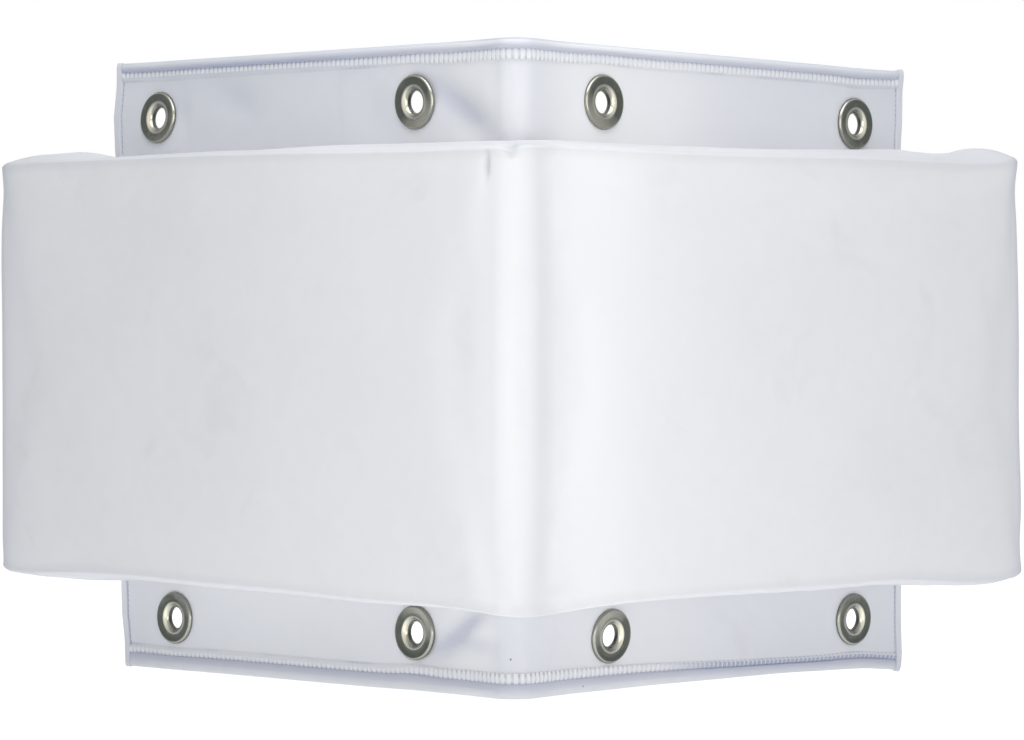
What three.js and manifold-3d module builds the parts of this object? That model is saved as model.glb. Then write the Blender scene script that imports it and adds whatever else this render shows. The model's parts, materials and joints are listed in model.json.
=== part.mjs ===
// Dock corner bumper: a foam pad in white vinyl that wraps the outside corner of a dock,
// with a flap above it and a flap below it that are screwed to the dock through grommets.
//
// Millimetres, +Z up. The dock fills the quadrant x > 0, y > 0 of its corner, so the right leg of
// the bumper runs along +X in front of y = 0 and the left leg along +Y in front of x = 0.
// A place on the bumper is a distance t along its leg from the dock's corner, a distance n out
// from the dock's face, and a height z. Right and left are as seen from in front of the corner.
import * as THREE from 'three';
import { mergeVertices } from 'three/addons/utils/BufferGeometryUtils.js';
import Module from 'manifold-3d';

const wasm = await Module();
wasm.setup();

// Pad
const padLeg = 353; // outside length of a leg, from the pad's outer corner
const padHeight = 203.2;
const padThickness = 50.8; // from the dock to the pad's face
const outerCornerRadius = 13;
const innerBendRadius = 6; // bend of the sheets round the dock's corner
const edgeRadius = 5.5; // long edges of the face
const endEdgeRadius = 4.5; // edges round each end
const faceCrown = 2.2; // how far the face swells at mid height
const boxingCrown = 1.2; // how far the top and bottom swell at mid thickness along the legs
const bunching = 2.8; // how much more they swell where the stuffing bunches up near the ends
const bunchingReach = 95; // length over which it bunches up
const endCrown = 2.5; // how far each end swells
const edgePull = 3.8; // how far the seams draw the long edges in at the ends
const edgePullReach = 36; // length over which they are drawn in
const earReach = 1.8; // how far the sewn corners stand out
const earSpread = 9;

// Sheets and seams
const vinyl = 1;
const seamGap = 0.3; // clearance between layers that are sewn or pressed together
const seamAllowance = 12;

// Flaps
const flapLeg = 273; // from the dock's corner to the flap's end
const flapHeight = 46; // from the pad to the flap's free edge
const hemRollDiameter = 4;
const turnedLeaf = 4.2; // width of the layer turned down behind the stitches
const endHemWidth = 5;
const endHemRelief = 1.1; // how far the fold at each end stands proud, hem roll and all
const endHemClearance = 3.6; // from the pad's seam, past its swelling, to the foot of the end hem

// Overlock stitches along the hems
const stitchPitch = 3.1;
const threadThickness = 0.3;
const stitchRelief = 0.5;

// Grommets, each set by hand: the inner ones by their distance from the dock's corner, the outer
// ones by their distance from the flap's end
const innerStations = { upper: { right: 55.5, left: 63 }, lower: { right: 61, left: 62 } };
const outerMargins = { upper: { right: 39, left: 31 }, lower: { right: 39, left: 43 } };
const grommetEdgeDistance = 26; // from the flap's free edge to the holes
const flangeRadius = 12.7;
const flangeHeight = 2.1;
const grommetBore = 4.75; // radius of the hole through a grommet
const metal = 0.5;
const washerRadius = 11.2;
const washerDish = 0.5;
const lipWidth = 1.7; // of the barrel's end rolled over the washer

// Facets
const cornerSteps = 4;
const arcSteps = 3;
const faceSteps = 4;
const boxingSteps = 3;
const endHemSteps = 4;
const grommetSegments = 16;
const endRings = [0.66, 0.33]; // share of the end wall inside each of its rings

// Derived places
const padEnd = padLeg - padThickness; // from the dock's corner to the pad's end
const padHalf = padHeight / 2;
const middle = flapHeight + padHalf; // height of the pad's middle
const layer = vinyl + seamGap; // pitch of stacked sheets
const flapBack = layer;
const flapFront = flapBack + vinyl;
const leafFront = flapFront + vinyl;
const flapEdge = padHalf + flapHeight; // free edge of a flap, from the pad's middle
const leafTop = flapEdge - hemRollDiameter;
const leafFoot = leafTop - turnedLeaf;
const barrelRadius = grommetBore + metal;

// Materials
const whiteVinyl = { color: 0xeef0f3, roughness: 0.5, metalness: 0 };
const whiteThread = { color: 0xf4f5f7, roughness: 0.7, metalness: 0 };
const paleFoam = { color: 0xd9d6c8, roughness: 0.95, metalness: 0 };
const nickel = { color: 0xa9a99f, roughness: 0.3, metalness: 1 };

// Radius of the bend at a distance n from the dock: it grows from the sheets to the pad's face.
function bendRadius(n) {
  return innerBendRadius + (outerCornerRadius - innerBendRadius) * n / padThickness;
}

// Places along the L, from the left leg's end round the corner to the right leg's end. On a leg,
// t is the distance from the dock's corner. Turn is how far the edges have rounded in there,
// and ring is the share of the section that is left.
function stationsTo(end, spans, radius = 0, rings = []) {
  const start = 2 * innerBendRadius;
  const leg = [];
  for (let i = 0; i <= spans; i += 1) {
    leg.push({ t: start + (end - radius - start) * i / spans, turn: 0, ring: 1 });
  }
  const steps = radius > 0 ? arcSteps : 0;
  for (let i = 1; i <= steps; i += 1) {
    const angle = Math.PI / 2 * i / steps;
    leg.push({
      t: end - radius * (1 - Math.sin(angle)),
      turn: radius * (1 - Math.cos(angle)),
      ring: 1,
    });
  }
  rings.forEach((ring) => leg.push({ t: end, turn: radius, ring }));
  const corner = [];
  for (let i = 0; i <= cornerSteps; i += 1) {
    corner.push({ side: 'corner', angle: Math.PI / 2 * i / cornerSteps, turn: 0, ring: 1 });
  }
  const left = leg.map((station) => ({ ...station, side: 'left' })).reverse();
  const right = leg.map((station) => ({ ...station, side: 'right' }));
  return [...left, ...corner, ...right];
}

// Point in space of a place on the bumper.
function wrap(station, t, n, z) {
  if (station.side === 'right') return new THREE.Vector3(t, -n, z);
  if (station.side === 'left') return new THREE.Vector3(-n, t, z);
  const radius = bendRadius(n);
  const centre = radius - n;
  return new THREE.Vector3(
    centre - radius * Math.cos(station.angle),
    centre - radius * Math.sin(station.angle),
    z,
  );
}

// Closed geometry through equal rings of points, with a flat cap at each end.
function skin(rings, capOutline) {
  const count = rings[0].length;
  const index = [];
  for (let i = 0; i + 1 < rings.length; i += 1) {
    for (let j = 0; j < count; j += 1) {
      const a = i * count + j;
      const b = i * count + (j + 1) % count;
      index.push(a, b, a + count, b, b + count, a + count);
    }
  }
  const last = (rings.length - 1) * count;
  THREE.ShapeUtils.triangulateShape(capOutline, []).forEach(([a, b, c]) => {
    index.push(a, b, c, last + a, last + c, last + b);
  });
  const geometry = new THREE.BufferGeometry();
  const positions = rings.flat().flatMap((point) => point.toArray());
  geometry.setAttribute('position', new THREE.Float32BufferAttribute(positions, 3));
  geometry.setIndex(index);
  return geometry;
}

function toSolid(geometry) {
  const bare = geometry.clone();
  bare.deleteAttribute('normal');
  bare.deleteAttribute('uv');
  const merged = mergeVertices(bare);
  const mesh = new wasm.Mesh({
    numProp: 3,
    vertProperties: new Float32Array(merged.attributes.position.array),
    triVerts: new Uint32Array(merged.index.array),
  });
  return new wasm.Manifold(mesh);
}

function toGeometry(solid) {
  const mesh = solid.getMesh();
  const geometry = new THREE.BufferGeometry();
  geometry.setAttribute('position', new THREE.BufferAttribute(mesh.vertProperties, 3));
  geometry.setIndex(new THREE.BufferAttribute(mesh.triVerts, 1));
  return geometry;
}

// Sweep of a section in (n, height above the pad's middle), clockwise, along the L.
function sweep(stations, sectionAt, place) {
  const rings = stations.map((station) => sectionAt(station).map((point) => place(station, point)));
  return toSolid(skin(rings, sectionAt(stations[0])));
}

// Bent sheet between two distances from the dock and two heights, with rounded end corners.
function bentSheet(nearSide, farSide, low, high, end, radius = 0) {
  const section = ({ turn }) => [
    new THREE.Vector2(nearSide, low + turn),
    new THREE.Vector2(nearSide, high - turn),
    new THREE.Vector2(farSide, high - turn),
    new THREE.Vector2(farSide, low + turn),
  ];
  const place = (station, point) => wrap(station, station.t, point.x, middle + point.y);
  return sweep(stationsTo(end, 1, radius), section, place);
}

// Section of the pad, drawn in by inset on every side but its back.
function padSection(inset, back, turn) {
  const face = padThickness - inset - turn;
  const half = padHalf - inset - turn;
  const radius = Math.max(edgeRadius - inset - turn, vinyl);
  const upper = [];
  for (let i = 0; i <= boxingSteps; i += 1) {
    upper.push(new THREE.Vector2(back + (face - radius - back) * i / boxingSteps, half));
  }
  for (let i = 1; i <= arcSteps; i += 1) {
    const angle = Math.PI / 2 * i / arcSteps;
    upper.push(new THREE.Vector2(
      face - radius + radius * Math.sin(angle),
      half - radius + radius * Math.cos(angle),
    ));
  }
  const front = [];
  for (let i = 1; i < faceSteps; i += 1) {
    front.push(new THREE.Vector2(face, (half - radius) * (1 - 2 * i / faceSteps)));
  }
  const lower = upper.map((point) => new THREE.Vector2(point.x, -point.y)).reverse();
  return [...upper, ...front, ...lower];
}

// Where the stuffing carries a point: the face, the top, the bottom and the ends swell, the seams
// draw the long edges in at the ends, and the sewn corners stand out as ears.
function stuffed(station, t, point) {
  const depth = point.x / padThickness;
  const rise = point.y / padHalf;
  const fromEnd = padEnd - t;
  const nearEnd = THREE.MathUtils.clamp(1 - fromEnd / edgePullReach, 0, 1) ** 2;
  const bunch = bunching * THREE.MathUtils.smoothstep(1 - fromEnd / bunchingReach, 0, 1);
  const belly = 4 * depth * (1 - depth);
  const midHeight = Math.max(1 - rise * rise, 0);
  const toEar = new THREE.Vector3(fromEnd, padThickness - point.x, padHalf - Math.abs(point.y));
  const ear = earReach * Math.exp(-toEar.lengthSq() / earSpread ** 2);
  const swell = (boxingCrown + bunch) * belly - edgePull * depth * nearEnd;
  return wrap(
    station,
    t + endCrown * belly * midHeight * nearEnd + ear,
    point.x + faceCrown * depth * midHeight * (1 - nearEnd) + ear,
    middle + point.y + rise * (swell + ear),
  );
}

// The pad's whole form, drawn in by inset on every side but its back.
function padForm(inset, back) {
  const section = ({ turn, ring }) => padSection(inset, back, turn).map(
    (point) => new THREE.Vector2(back + (point.x - back) * ring, point.y * ring),
  );
  const place = (station, point) => {
    const t = station.side === 'corner' ? bendRadius(point.x) - point.x : station.t;
    return stuffed(station, t, point);
  };
  return sweep(stationsTo(padEnd - inset, 4, endEdgeRadius, endRings), section, place);
}

// The window in the back of the cover, inside its turned-in edges.
function backWindow(margin, nearSide) {
  const half = padHalf - margin;
  return bentSheet(nearSide, leafFront, -half, half, padEnd - margin);
}

// The slot in the seam that the root of a flap passes through.
function flapSlot(side) {
  const root = padHalf - seamAllowance - seamGap;
  const heights = [side * root, side * padHeight].sort((a, b) => a - b);
  return bentSheet(flapBack - seamGap, flapFront + seamGap, ...heights, flapLeg + seamGap);
}

function frontCover() {
  const shell = padForm(0, layer).subtract(padForm(vinyl, flapFront));
  const open = shell.subtract(backWindow(seamAllowance, 0));
  return toGeometry(open.subtract(flapSlot(1)).subtract(flapSlot(-1)));
}

function foamCore() {
  const raised = backWindow(seamAllowance + seamGap, -vinyl);
  const seams = bentSheet(0, flapFront + seamGap, -padHeight, padHeight, padLeg).subtract(raised);
  return toGeometry(padForm(layer, layer).subtract(seams));
}

function backPanel() {
  return toGeometry(bentSheet(0, vinyl, -padHalf, padHalf, padEnd, endEdgeRadius));
}

// Section of a flap from its root in the seam to its free edge: the sheet, the hem rolled round
// the edge, and the leaf that is turned down in front of the sheet. Relief is how far the fold at
// the flap's end stands proud there.
function flapSection(side, relief) {
  const roll = hemRollDiameter / 2;
  const foldedRoll = roll + relief / 2;
  const root = padHalf - seamAllowance;
  const points = [new THREE.Vector2(flapBack, root)];
  const sweepAngle = Math.PI * 1.35;
  const steps = 2 * arcSteps + 1;
  for (let i = 0; i <= steps; i += 1) {
    const angle = Math.PI - sweepAngle * i / steps;
    points.push(new THREE.Vector2(
      flapBack + roll + foldedRoll * Math.cos(angle),
      flapEdge - roll + foldedRoll * Math.sin(angle),
    ));
  }
  points.push(
    new THREE.Vector2(leafFront + relief, leafTop),
    new THREE.Vector2(leafFront + relief, leafFoot),
    new THREE.Vector2(flapFront + relief, leafFoot),
    new THREE.Vector2(flapFront + relief, padHalf + endHemClearance),
    new THREE.Vector2(flapFront, padHalf + endHemClearance - relief / 2 - vinyl / 2),
    new THREE.Vector2(flapFront, root),
  );
  if (side > 0) return points;
  return points.map((point) => new THREE.Vector2(point.x, -point.y)).reverse();
}

// Places along a flap, with the half-round fold at each end.
function flapStations() {
  const path = stationsTo(flapLeg - endHemWidth, 1).map((station) => ({ ...station, relief: 0 }));
  for (let i = 1; i <= endHemSteps; i += 1) {
    const share = i / endHemSteps;
    const fold = {
      t: flapLeg - endHemWidth * (1 - share),
      relief: endHemRelief * Math.sqrt(Math.max(Math.sin(Math.PI * share), 0)),
    };
    path.unshift({ ...fold, side: 'left' });
    path.push({ ...fold, side: 'right' });
  }
  return path;
}

// Turn that points a piece's +Y away from the dock on each leg.
const outward = { right: Math.PI, left: Math.PI / 2 };

// Every grommet's place: which leg, which of its two stations, and the centre of its hole.
function grommetPlaces(side) {
  const level = side > 0 ? 'upper' : 'lower';
  const height = middle + side * (flapEdge - grommetEdgeDistance);
  return Object.keys(outward).flatMap((leg) => {
    const stations = {
      inner: innerStations[level][leg],
      outer: flapLeg - outerMargins[level][leg],
    };
    return Object.entries(stations).map(
      ([station, t]) => ({ leg, station, centre: wrap({ side: leg }, t, 0, height) }),
    );
  });
}

function flap(side) {
  const place = (station, point) => wrap(station, station.t, point.x, middle + point.y);
  let sheet = sweep(flapStations(), ({ relief }) => flapSection(side, relief), place);
  const radius = barrelRadius + seamGap;
  grommetPlaces(side).forEach(({ leg, centre }) => {
    const drill = new THREE.CylinderGeometry(radius, radius, 4 * leafFront, grommetSegments);
    drill.rotateZ(outward[leg]).translate(centre.x, centre.y, centre.z);
    sheet = sheet.subtract(toSolid(drill));
  });
  return toGeometry(sheet);
}

// Ladder of overlock stitches across the turned leaf: one ridge for each stitch.
function hemStitching(side) {
  const back = leafFront + seamGap;
  const valley = back + threadThickness;
  const ridge = valley + stitchRelief;
  const length = flapLeg - endHemWidth - seamGap - 2 * innerBendRadius;
  const stitches = Math.floor(length / stitchPitch);
  const leg = [];
  for (let i = 0; i <= 2 * stitches; i += 1) {
    leg.push({ t: 2 * innerBendRadius + i * stitchPitch / 2, n: i % 2 ? ridge : valley });
  }
  const corner = [];
  for (let i = 0; i <= cornerSteps; i += 1) {
    corner.push({ angle: Math.PI / 2 * i / cornerSteps, n: i % 2 ? ridge : valley });
  }
  const left = leg.map((place) => ({ ...place, side: 'left' })).reverse();
  const right = leg.map((place) => ({ ...place, side: 'right' }));
  const path = [...left, ...corner, ...right];
  const front = path.map((place) => wrap(place, place.t, place.n, 0));
  const behind = [left[0], ...corner, right.at(-1)].map((place) => wrap(place, place.t, back, 0));
  const outline = [...front, ...behind.reverse()].map(({ x, y }) => new THREE.Vector2(x, y));
  const shape = new THREE.Shape(outline);
  const band = new THREE.ExtrudeGeometry(shape, { depth: turnedLeaf, bevelEnabled: false });
  return band.translate(0, 0, middle + (side > 0 ? leafFoot : -leafTop));
}

// Piece turned about a grommet's axis, from a closed clockwise profile of (radius, n).
function turned(profile) {
  const points = [...profile, profile[0]].map(([radius, n]) => new THREE.Vector2(radius, n));
  return new THREE.LatheGeometry(points.reverse(), grommetSegments);
}

// Front half of a grommet: a flange with a raised rim, a dished band and a raised throat, and the
// barrel that passes through the flap and is rolled over the washer behind it.
function eyelet() {
  const base = flapFront + seamGap;
  const width = flangeRadius - grommetBore;
  const lipFront = flapBack - layer - washerDish;
  const lipBack = lipFront - metal;
  return turned([
    [barrelRadius, base],
    [barrelRadius, lipFront],
    [barrelRadius + lipWidth, lipFront],
    [barrelRadius + lipWidth, lipBack + metal / 4],
    [barrelRadius + lipWidth / 4, lipBack - metal / 4],
    [grommetBore, lipFront],
    [grommetBore, base + flangeHeight * 0.4],
    [grommetBore + width * 0.04, base + flangeHeight * 0.8],
    [grommetBore + width * 0.2, base + flangeHeight],
    [grommetBore + width * 0.5, base + flangeHeight * 0.5],
    [flangeRadius - width * 0.2, base + flangeHeight * 0.9],
    [flangeRadius, base + flangeHeight * 0.4],
    [flangeRadius - metal / 2, base],
  ]);
}

// Rear half of a grommet: a dished ring between the flap and the rolled lip.
function washer() {
  const bore = barrelRadius + seamGap;
  const front = flapBack - seamGap;
  const shoulder = (bore + washerRadius) / 2;
  return turned([
    [bore, front - washerDish],
    [shoulder, front - washerDish],
    [washerRadius, front],
    [washerRadius, front - metal],
    [shoulder, front - washerDish - metal],
    [bore, front - washerDish - metal],
  ]);
}

function piece(name, geometry, finish) {
  const mesh = new THREE.Mesh(geometry, new THREE.MeshStandardMaterial(finish));
  mesh.name = name;
  return mesh;
}

const assembly = new THREE.Group();
assembly.add(
  piece('foam_core', foamCore(), paleFoam),
  piece('front_cover', frontCover(), whiteVinyl),
  piece('back_panel', backPanel(), whiteVinyl),
);
Object.entries({ upper: 1, lower: -1 }).forEach(([level, side]) => {
  assembly.add(
    piece(`${level}_flap`, flap(side), whiteVinyl),
    piece(`${level}_hem_stitching`, hemStitching(side), whiteThread),
  );
  grommetPlaces(side).forEach(({ leg, station, centre }) => {
    const grommet = new THREE.Group();
    grommet.add(
      piece(`${level}_${leg}_${station}_eyelet`, eyelet(), nickel),
      piece(`${level}_${leg}_${station}_washer`, washer(), nickel),
    );
    grommet.rotation.z = outward[leg];
    grommet.position.copy(centre);
    assembly.add(grommet);
  });
});

// The origin is under the middle of the bumper's box, level with the lower hem.
const bumper = new THREE.Group();
bumper.add(assembly);
bumper.updateMatrixWorld(true);
const extent = new THREE.Box3().setFromObject(bumper, true);
const centre = extent.getCenter(new THREE.Vector3());
assembly.position.set(-centre.x, -centre.y, -extent.min.z);

export default bumper;
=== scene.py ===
import json
import math

import bmesh
import bpy
import numpy as np
from bpy.props import (
    FloatProperty,
    FloatVectorProperty,
    IntProperty,
    PointerProperty,
)
from mathutils import Matrix, Vector


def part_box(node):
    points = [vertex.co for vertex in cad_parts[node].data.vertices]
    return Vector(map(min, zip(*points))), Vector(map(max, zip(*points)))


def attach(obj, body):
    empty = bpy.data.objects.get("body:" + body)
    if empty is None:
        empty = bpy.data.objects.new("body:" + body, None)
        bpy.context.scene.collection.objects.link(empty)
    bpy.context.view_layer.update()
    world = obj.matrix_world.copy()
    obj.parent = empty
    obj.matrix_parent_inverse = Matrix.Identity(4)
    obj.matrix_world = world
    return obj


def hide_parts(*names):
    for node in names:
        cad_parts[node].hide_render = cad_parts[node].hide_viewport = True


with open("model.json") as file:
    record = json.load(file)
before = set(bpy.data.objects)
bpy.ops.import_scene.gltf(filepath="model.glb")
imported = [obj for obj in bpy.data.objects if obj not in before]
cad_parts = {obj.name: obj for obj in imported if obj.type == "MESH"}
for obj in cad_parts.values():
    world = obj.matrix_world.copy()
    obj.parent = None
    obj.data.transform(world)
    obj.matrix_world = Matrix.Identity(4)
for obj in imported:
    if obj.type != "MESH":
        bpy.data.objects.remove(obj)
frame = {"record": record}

bl_info = {
    "name": "Dock Corner Bumper",
    "version": (1, 0, 0),
    "blender": (4, 5, 0),
    "location": "View3D > Sidebar > Bumper",
    "description": "Makes a stuffed vinyl bumper for a dock's corner, with hemmed and grommeted flaps",
    "category": "Add Mesh",
}

MM = 0.001


def lengths(*millimetres):
    return np.array(millimetres) * MM


# The dock fills the quadrant past DOCK_X and DOCK_Y. The right leg runs along +X in front of it and
# the left leg along +Y. A place on the bumper is a distance t along its leg from the dock's corner,
# a distance n out from the dock and a height h above the pad's middle, all in metres. A distance s
# is measured along a sheet from the corner's diagonal, and is negative on the left leg.
LEGS = ("left", "right")
LEVELS = {"upper": 1, "lower": -1}
MOUNTS = {mount["name"]: mount["pos_m"] for mount in frame["record"]["mounts"]}
DOCK_X = MOUNTS["left_dock_face"][0]
DOCK_Y = MOUNTS["right_dock_face"][1]
MIDDLE = MOUNTS["left_dock_face"][2]
PAD_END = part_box("back_panel")[1].x - DOCK_X
PAD_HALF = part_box("back_panel")[1].z - MIDDLE
FLAP_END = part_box("upper_flap")[1].x - DOCK_X
LEAF_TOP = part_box("upper_hem_stitching")[1].z - MIDDLE
FLOOR = -2.7 * MM  # the lower flap's right corner hangs a little under its nominal height

# How far the stuffing pushes each end out, at these heights from its foot to its top
END_HEIGHTS = lengths(-97, -88, -70, -30, 20, 70, 88, 97)
END_PUSHES = {
    "left": lengths(3.0, 4.0, 4.4, 4.9, 5.2, 5.0, 3.4, 3.9),
    "right": lengths(5.4, 4.7, 5.8, 4.2, 3.4, 0.7, -0.8, 0.6),
}
# How far it lifts each long edge of the face, at these distances from the leg's end
LIFT_REACHES = lengths(0, 6, 14, 26, 42, 60, 90, 148, 203, 255, 308, 336, 353)
EDGE_LIFTS = {
    ("left", "upper"): lengths(-1.6, -1.2, -0.5, 0, 0.2, 0.4, 0.5, 0.7, 0.1, -0.8, -1.2, -1.1, -0.8),
    ("left", "lower"): lengths(1.2, 0.2, -0.7, -0.6, 0, 0.7, 1.0, 0.1, -0.3, -1.6, -1.6, -2.9, -4.0),
    ("right", "upper"): lengths(2.8, 2.5, 1.5, 0.8, 0.4, 0.5, 0.8, 0.5, -0.5, -0.8, -0.3, -0.5, -0.8),
    ("right", "lower"): lengths(-1.0, -2.2, -4.0, -4.5, -4.0, -2.8, -0.9, -0.9, -0.2, -0.1, -1.9, -3.8, -4.0),
}
# How far it swells the boxing behind that edge, at the same distances
BOXING_SWELLS = {
    ("left", "upper"): lengths(0, 0, -0.4, -1.0, -4.2, -6.6, -4.0, -1.2, 0, 0, 0, 0, 0),
    ("left", "lower"): lengths(-1.5, -1.5, -1.5, -1.5, -1.5, -1.2, -0.6, -0.3, 0, 0, 0, 0, 0),
    ("right", "upper"): lengths(2.0, 2.3, 0.5, -0.8, -0.3, 1.4, 1.5, 0.3, 0, 0, 0, 0, 0),
    ("right", "lower"): lengths(-1.5, -1.5, -1.5, -1.5, -1.5, -1.2, -0.6, -0.3, 0, 0, 0, 0, 0),
}
# How far each flap's free edge stands up: at the corner, the left end and the right end
EDGE_RISES = {"upper": lengths(2.0, 1.5, -1.0), "lower": lengths(1.8, -0.1, -4.9)}
# How much narrower each hem is sewn towards its left end and its right end
HEM_TAPERS = {"upper": (0, 0), "lower": (0, 0.4)}
# How much longer each flap's end is than its cut: at the pad, half way, and at the free edge
END_REACHES = {
    ("upper", "left"): lengths(2.3, 3.6, 0.4),
    ("upper", "right"): lengths(-4.0, -2.6, -2.6),
    ("lower", "left"): lengths(-2.0, -3.0, -6.4),
    ("lower", "right"): lengths(-1.7, -1.8, -0.8),
}
# How each grommet was set: its tilt in degrees, up being positive, and how far above its mark and
# nearer the corner
GROMMET_SETS = {
    ("upper", "left", "inner"): (-2.1, 0.9 * MM, 0.9 * MM),
    ("upper", "left", "outer"): (5.4, -0.5 * MM, 0),
    ("upper", "right", "inner"): (1.4, 1.0 * MM, 1.0 * MM),
    ("upper", "right", "outer"): (0.6, -1.8 * MM, 0.5 * MM),
    ("lower", "left", "inner"): (1.0, 1.5 * MM, 0.8 * MM),
    ("lower", "left", "outer"): (0.5, -0.6 * MM, 0.7 * MM),
    ("lower", "right", "inner"): (-4.6, -0.1 * MM, 0.6 * MM),
    ("lower", "right", "outer"): (-0.8, 1.0 * MM, 0.3 * MM),
}
# Share of its full length that a ladder stitch has, at these places along the flap
LADDER_PLACES = lengths(-260, -110, -75, -50, 0, 60, 110, 260)
LADDER_SHARES = {
    "upper": np.array((0.60, 0.70, 0.80, 1.0, 1.04, 0.94, 0.82, 0.72)),
    "lower": np.array((0.64, 0.58, 0.62, 0.92, 1.06, 0.92, 0.80, 0.72)),
}
# Painted light: how much paler than its colour the vinyl is painted at these places along each sheet, and
# painted shade (greyer) below 0
PAINTED_LIGHT_AND_SHADE_PLACES = lengths(-260, -209, -169, -75, -42, -24, -12, 0, 10, 30, 90, 140, 209, 260)
PAINTED_LIGHT_AND_SHADE = {
    "upper": np.array((0, -0.1, -0.05, 0, 0.2, 0.8, 0.7, -0.05, 0, 0.45, 0.4, 0, -0.03, -0.15)),
    "lower": np.array((0.1, 0.4, 0.45, 0.4, 0.5, 0.8, 0.6, 0, 0, 0.15, 0.3, 0, -0.05, 0)),
    "cover": np.array((0, 0, 0.05, 0.2, 0.2, 0.3, 0.6, 0, -0.2, 0.4, 0.2, 0.1, 0, 0)),
}
# Creases of each flap: from and to, each a place (s, h), then width, depth and painted shade
CREASES = {
    "upper": (
        ((-60 * MM, 133 * MM), (-7 * MM, 105 * MM), 8 * MM, 2.4 * MM, 0.3),
        ((-22 * MM, 132 * MM), (-8 * MM, 118 * MM), 8 * MM, -0.8 * MM, 0),
        ((-96 * MM, 124 * MM), (-82 * MM, 112 * MM), 8 * MM, 0.8 * MM, 0.10),
        ((-204 * MM, 134 * MM), (-170 * MM, 122 * MM), 7 * MM, 1.2 * MM, 0.16),
        ((-229 * MM, 131 * MM), (-222 * MM, 113 * MM), 5 * MM, 0.8 * MM, 0.10),
    ),
    "lower": (
        ((-13 * MM, -105 * MM), (-56 * MM, -133 * MM), 6 * MM, 2.1 * MM, 0.34),
        ((-8 * MM, -112 * MM), (-34 * MM, -119 * MM), 5 * MM, -0.8 * MM, 0),
        ((-34 * MM, -124 * MM), (-4 * MM, -122 * MM), 4 * MM, 1.0 * MM, 0.16),
    ),
}
# Small dark specks on the lower flap: place (s, n, h), radius and strength
SPECKS = (
    (-1.0 * MM, 2.3 * MM, -129.0 * MM, 0.55 * MM, 0.9),
    (43.0 * MM, 5.2 * MM, -144.3 * MM, 0.55 * MM, 0.8),
    (-99.0 * MM, 3.3 * MM, -135.0 * MM, 0.6 * MM, 0.3),
)

# Tints that go over the finishes: painted light, painted shade, handling smudges, dark specks, and the
# painted highlight and shade of the nickel
PAINTED_LIGHT_VINYL = (0.945, 0.94, 0.945)
HANDLED_VINYL = (0.60, 0.59, 0.57)
PAINTED_SHADE_FLAP = (0.42, 0.44, 0.60)
PAINTED_SHADE_COVER = (0.48, 0.50, 0.56)
DARK_SPECK = (0.05, 0.045, 0.05)
PAINTED_SHADE_THREAD = (0.42, 0.45, 0.60)
PAINTED_HIGHLIGHT_NICKEL = (0.76, 0.73, 0.58)
PAINTED_SHADE_NICKEL = (0.085, 0.092, 0.082)


class BumperPad(bpy.types.PropertyGroup):
    """Sizes of the stuffed pad"""

    thickness: FloatProperty(
        name="Thickness", description="From the dock to the pad's face",
        default=50.8 * MM, min=10 * MM, unit="LENGTH",
    )
    corner_radius: FloatProperty(
        name="Corner Radius", description="Bend of the face round the corner",
        default=13 * MM, min=1 * MM, unit="LENGTH",
    )
    bend_radius: FloatProperty(
        name="Bend Radius", description="Bend of the back sheets round the dock's corner",
        default=6 * MM, min=1 * MM, unit="LENGTH",
    )
    fold_radius: FloatProperty(
        name="Fold Radius", description="Rounding of the long edges of the face",
        default=2.3 * MM, min=1 * MM, unit="LENGTH",
    )
    end_radius: FloatProperty(
        name="End Radius", description="Rounding round each end",
        default=6.5 * MM, min=1 * MM, unit="LENGTH",
    )
    seam_radius: FloatProperty(
        name="Seam Radius", description="Rounding along the seam at the back",
        default=1.2 * MM, min=0.2 * MM, unit="LENGTH",
    )
    face_crown: FloatProperty(
        name="Face Crown", description="How far the face swells at mid height",
        default=1.2 * MM, min=0, unit="LENGTH",
    )
    boxing_crown: FloatProperty(
        name="Boxing Crown", description="How far the top and bottom swell along the legs",
        default=0.9 * MM, min=0, unit="LENGTH",
    )
    bunching: FloatProperty(
        name="Bunching", description="How much more they swell near the ends",
        default=3.0 * MM, min=0, unit="LENGTH",
    )
    end_crown: FloatProperty(
        name="End Crown", description="How far each end swells",
        default=1.6 * MM, min=0, unit="LENGTH",
    )
    spacing: FloatProperty(
        name="Mesh Spacing", description="Spacing of the pad's grid before it is subdivided",
        default=6.5 * MM, min=2 * MM, unit="LENGTH",
    )
    pressure: FloatProperty(
        name="Stuffing Pressure", description="Pressure that swells the cover", default=4.0, min=0,
    )
    swell_limit: FloatProperty(
        name="Swell Limit", description="The furthest that the pressure may move the cover",
        default=1.6 * MM, min=0, unit="LENGTH",
    )
    fill: FloatProperty(
        name="Fill", description="How tightly the cover is stuffed", default=0.9, min=0, max=1,
    )


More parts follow.
